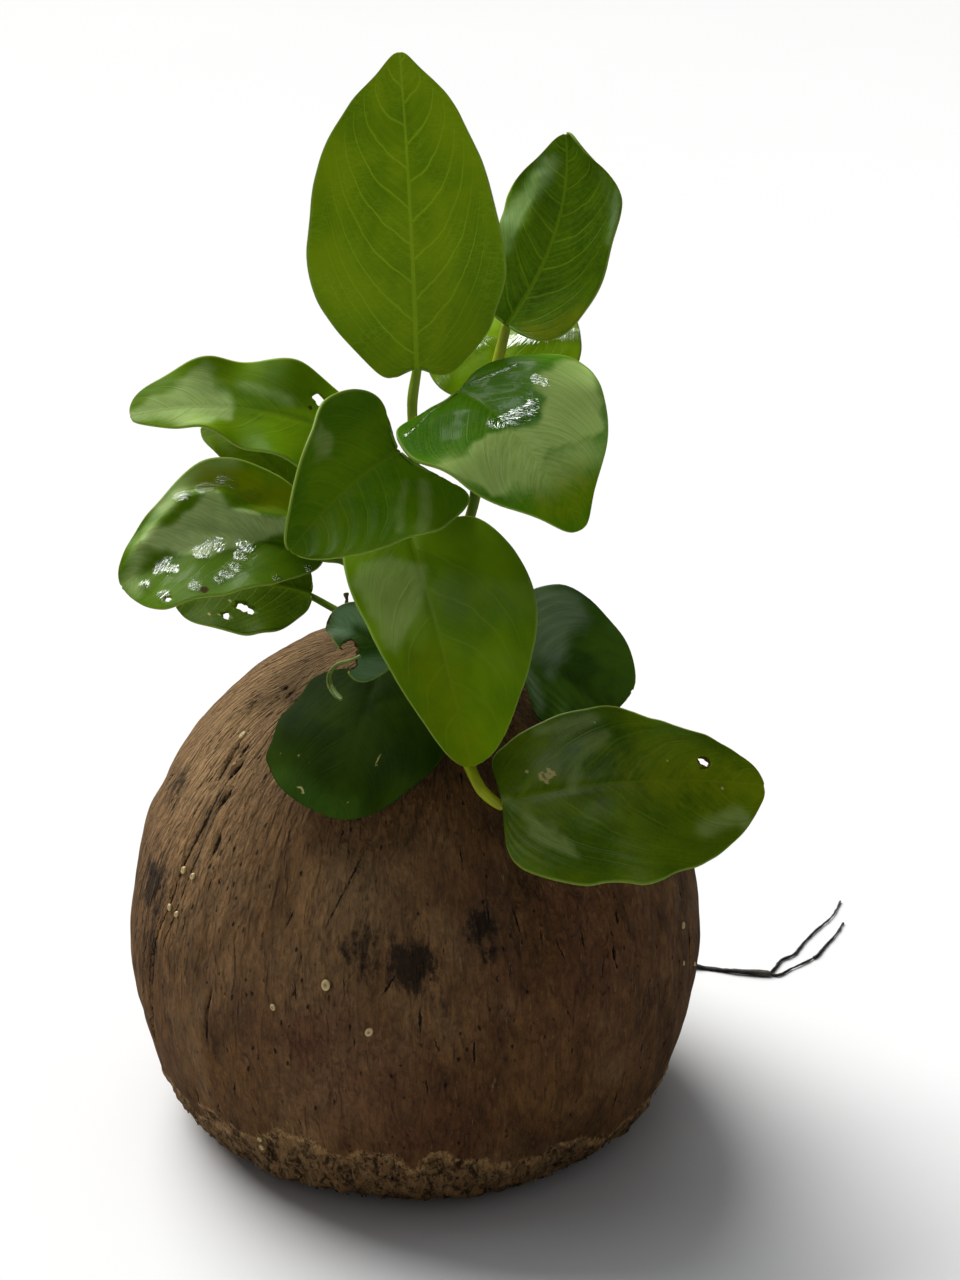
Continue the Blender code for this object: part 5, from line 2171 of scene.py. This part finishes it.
@dataclass
class Studio:
    """Pale floor, soft lights and the camera."""

    eye: Triple = (13.6, -574.7, 348.6)
    tilt: float = 67.0
    lens: float = 86.2
    sensor: float = 36.0
    floor_reach: float = 6.0
    sun: float = 4.3
    sun_softness: float = 46.0
    sun_from: Triple = (-0.66, 0.8, 1.05)
    sun_tint: Colour = (1.0, 0.995, 0.98)
    lamp_tint: Colour = (0.93, 0.97, 1.0)
    lamp_target: Triple = (0.0, 0.0, 0.1)
    lamps: tuple[Lamp, ...] = (
        Lamp("broad panel", 1.1, 4.0, (-0.15, 0.3, 1.45), False),
        Lamp("gloss lamp", 0.3, 3.2, (-0.05, -0.12, 0.95), True),
    )
    surroundings: float = 0.165
    surroundings_tint: Colour = (0.97, 0.98, 1.0)

    def build(self) -> None:
        """Set everything up round the plant."""
        self.lay_floor()
        self.hang_lights()
        self.dim_surroundings()
        self.set_camera()

    def lay_floor(self) -> None:
        """Lay a wide pale floor."""
        bm = bmesh.new()
        bmesh.ops.create_grid(bm, x_segments=4, y_segments=4, size=self.floor_reach)
        mesh = bpy.data.meshes.new("floor")
        bm.to_mesh(mesh)
        bm.free()
        floor = bpy.data.objects.new("floor", mesh)
        mesh.materials.append(FloorFinish("studio floor").material())
        bpy.context.scene.collection.objects.link(floor)
        floor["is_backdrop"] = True
        floor.visible_glossy = False

    def hang_lights(self) -> None:
        """Hang a soft key behind on the left, a broad panel, and a lamp that only gloss shows."""
        key = bpy.data.lights.new("key", "SUN")
        key.energy, key.angle = self.sun, math.radians(self.sun_softness)
        key.color = self.sun_tint
        self.aim(key, self.sun_from, (0.0, 0.0, 0.0))
        for lamp in self.lamps:
            light = bpy.data.lights.new(lamp.name, "AREA")
            light.size, light.energy, light.color = lamp.width, lamp.energy, self.lamp_tint
            hung = self.aim(light, lamp.place, self.lamp_target)
            hung.visible_glossy, hung.visible_diffuse = lamp.mirrored, not lamp.mirrored

    def dim_surroundings(self) -> None:
        """Light everything a little from all round, without a reflection."""
        world = bpy.data.worlds.new("surroundings")
        world.use_nodes = True
        back = world.node_tree.nodes["Background"]
        back.inputs[0].default_value = (*self.surroundings_tint, 1.0)
        back.inputs[1].default_value = self.surroundings
        world.cycles_visibility.glossy = False
        bpy.context.scene.world = world
        bpy.context.scene.view_settings.view_transform = "Standard"

    def aim(self, light: bpy.types.Light, place: Triple, target: Triple) -> Piece:
        """Hang a light and point it.

        Args:
            light: Light to hang.
            place: Where it hangs, in metres from the shell's axis.
            target: What it points at, likewise.

        Returns:
            The object that carries it.
        """
        hung = bpy.data.objects.new(light.name, light)
        bpy.context.scene.collection.objects.link(hung)
        hung.location = Vector(place) + Vector(AXIS)
        way = Vector(target) - Vector(place)
        hung.rotation_euler = way.to_track_quat("-Z", "Y").to_euler()
        return hung

    def set_camera(self) -> None:
        """Stand the camera where the picture was taken from."""
        lens = bpy.data.cameras.new("camera")
        lens.lens, lens.sensor_width = self.lens, self.sensor
        lens.clip_start, lens.clip_end = 0.01, 50.0
        camera = bpy.data.objects.new("camera", lens)
        bpy.context.scene.collection.objects.link(camera)
        camera.location = Vector(np.array(self.eye) * MM + AXIS)
        camera.rotation_euler = (math.radians(self.tilt), 0.0, 0.0)
        bpy.context.scene.camera = camera


def write_sizes() -> None:
    """Gather the solids' box and the dressed model's box side by side."""
    boxes = [[list(map(float, corner)) for corner in box] for box in (CAD_BOX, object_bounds())]


def main() -> None:
    """Build the plant, its shell and the studio, in order."""
    logging.basicConfig(level=logging.INFO, format="%(message)s")
    shell = CoconutShell()
    shell.build()
    shell.build_fibres()
    shell.build_specks()
    rhizome = Rhizome()
    rhizome.build()
    finishes = leaf_finishes()
    for leaf in leaves():
        leaf.build_blade(finishes[leaf.name])
        leaf.build_stalk(rhizome)
    TornStrip().build()
    DriedStalk().build()
    Roots(shell, rhizome).build()
    Studio().build()
    write_sizes()


if __name__ == "__main__":
    main()
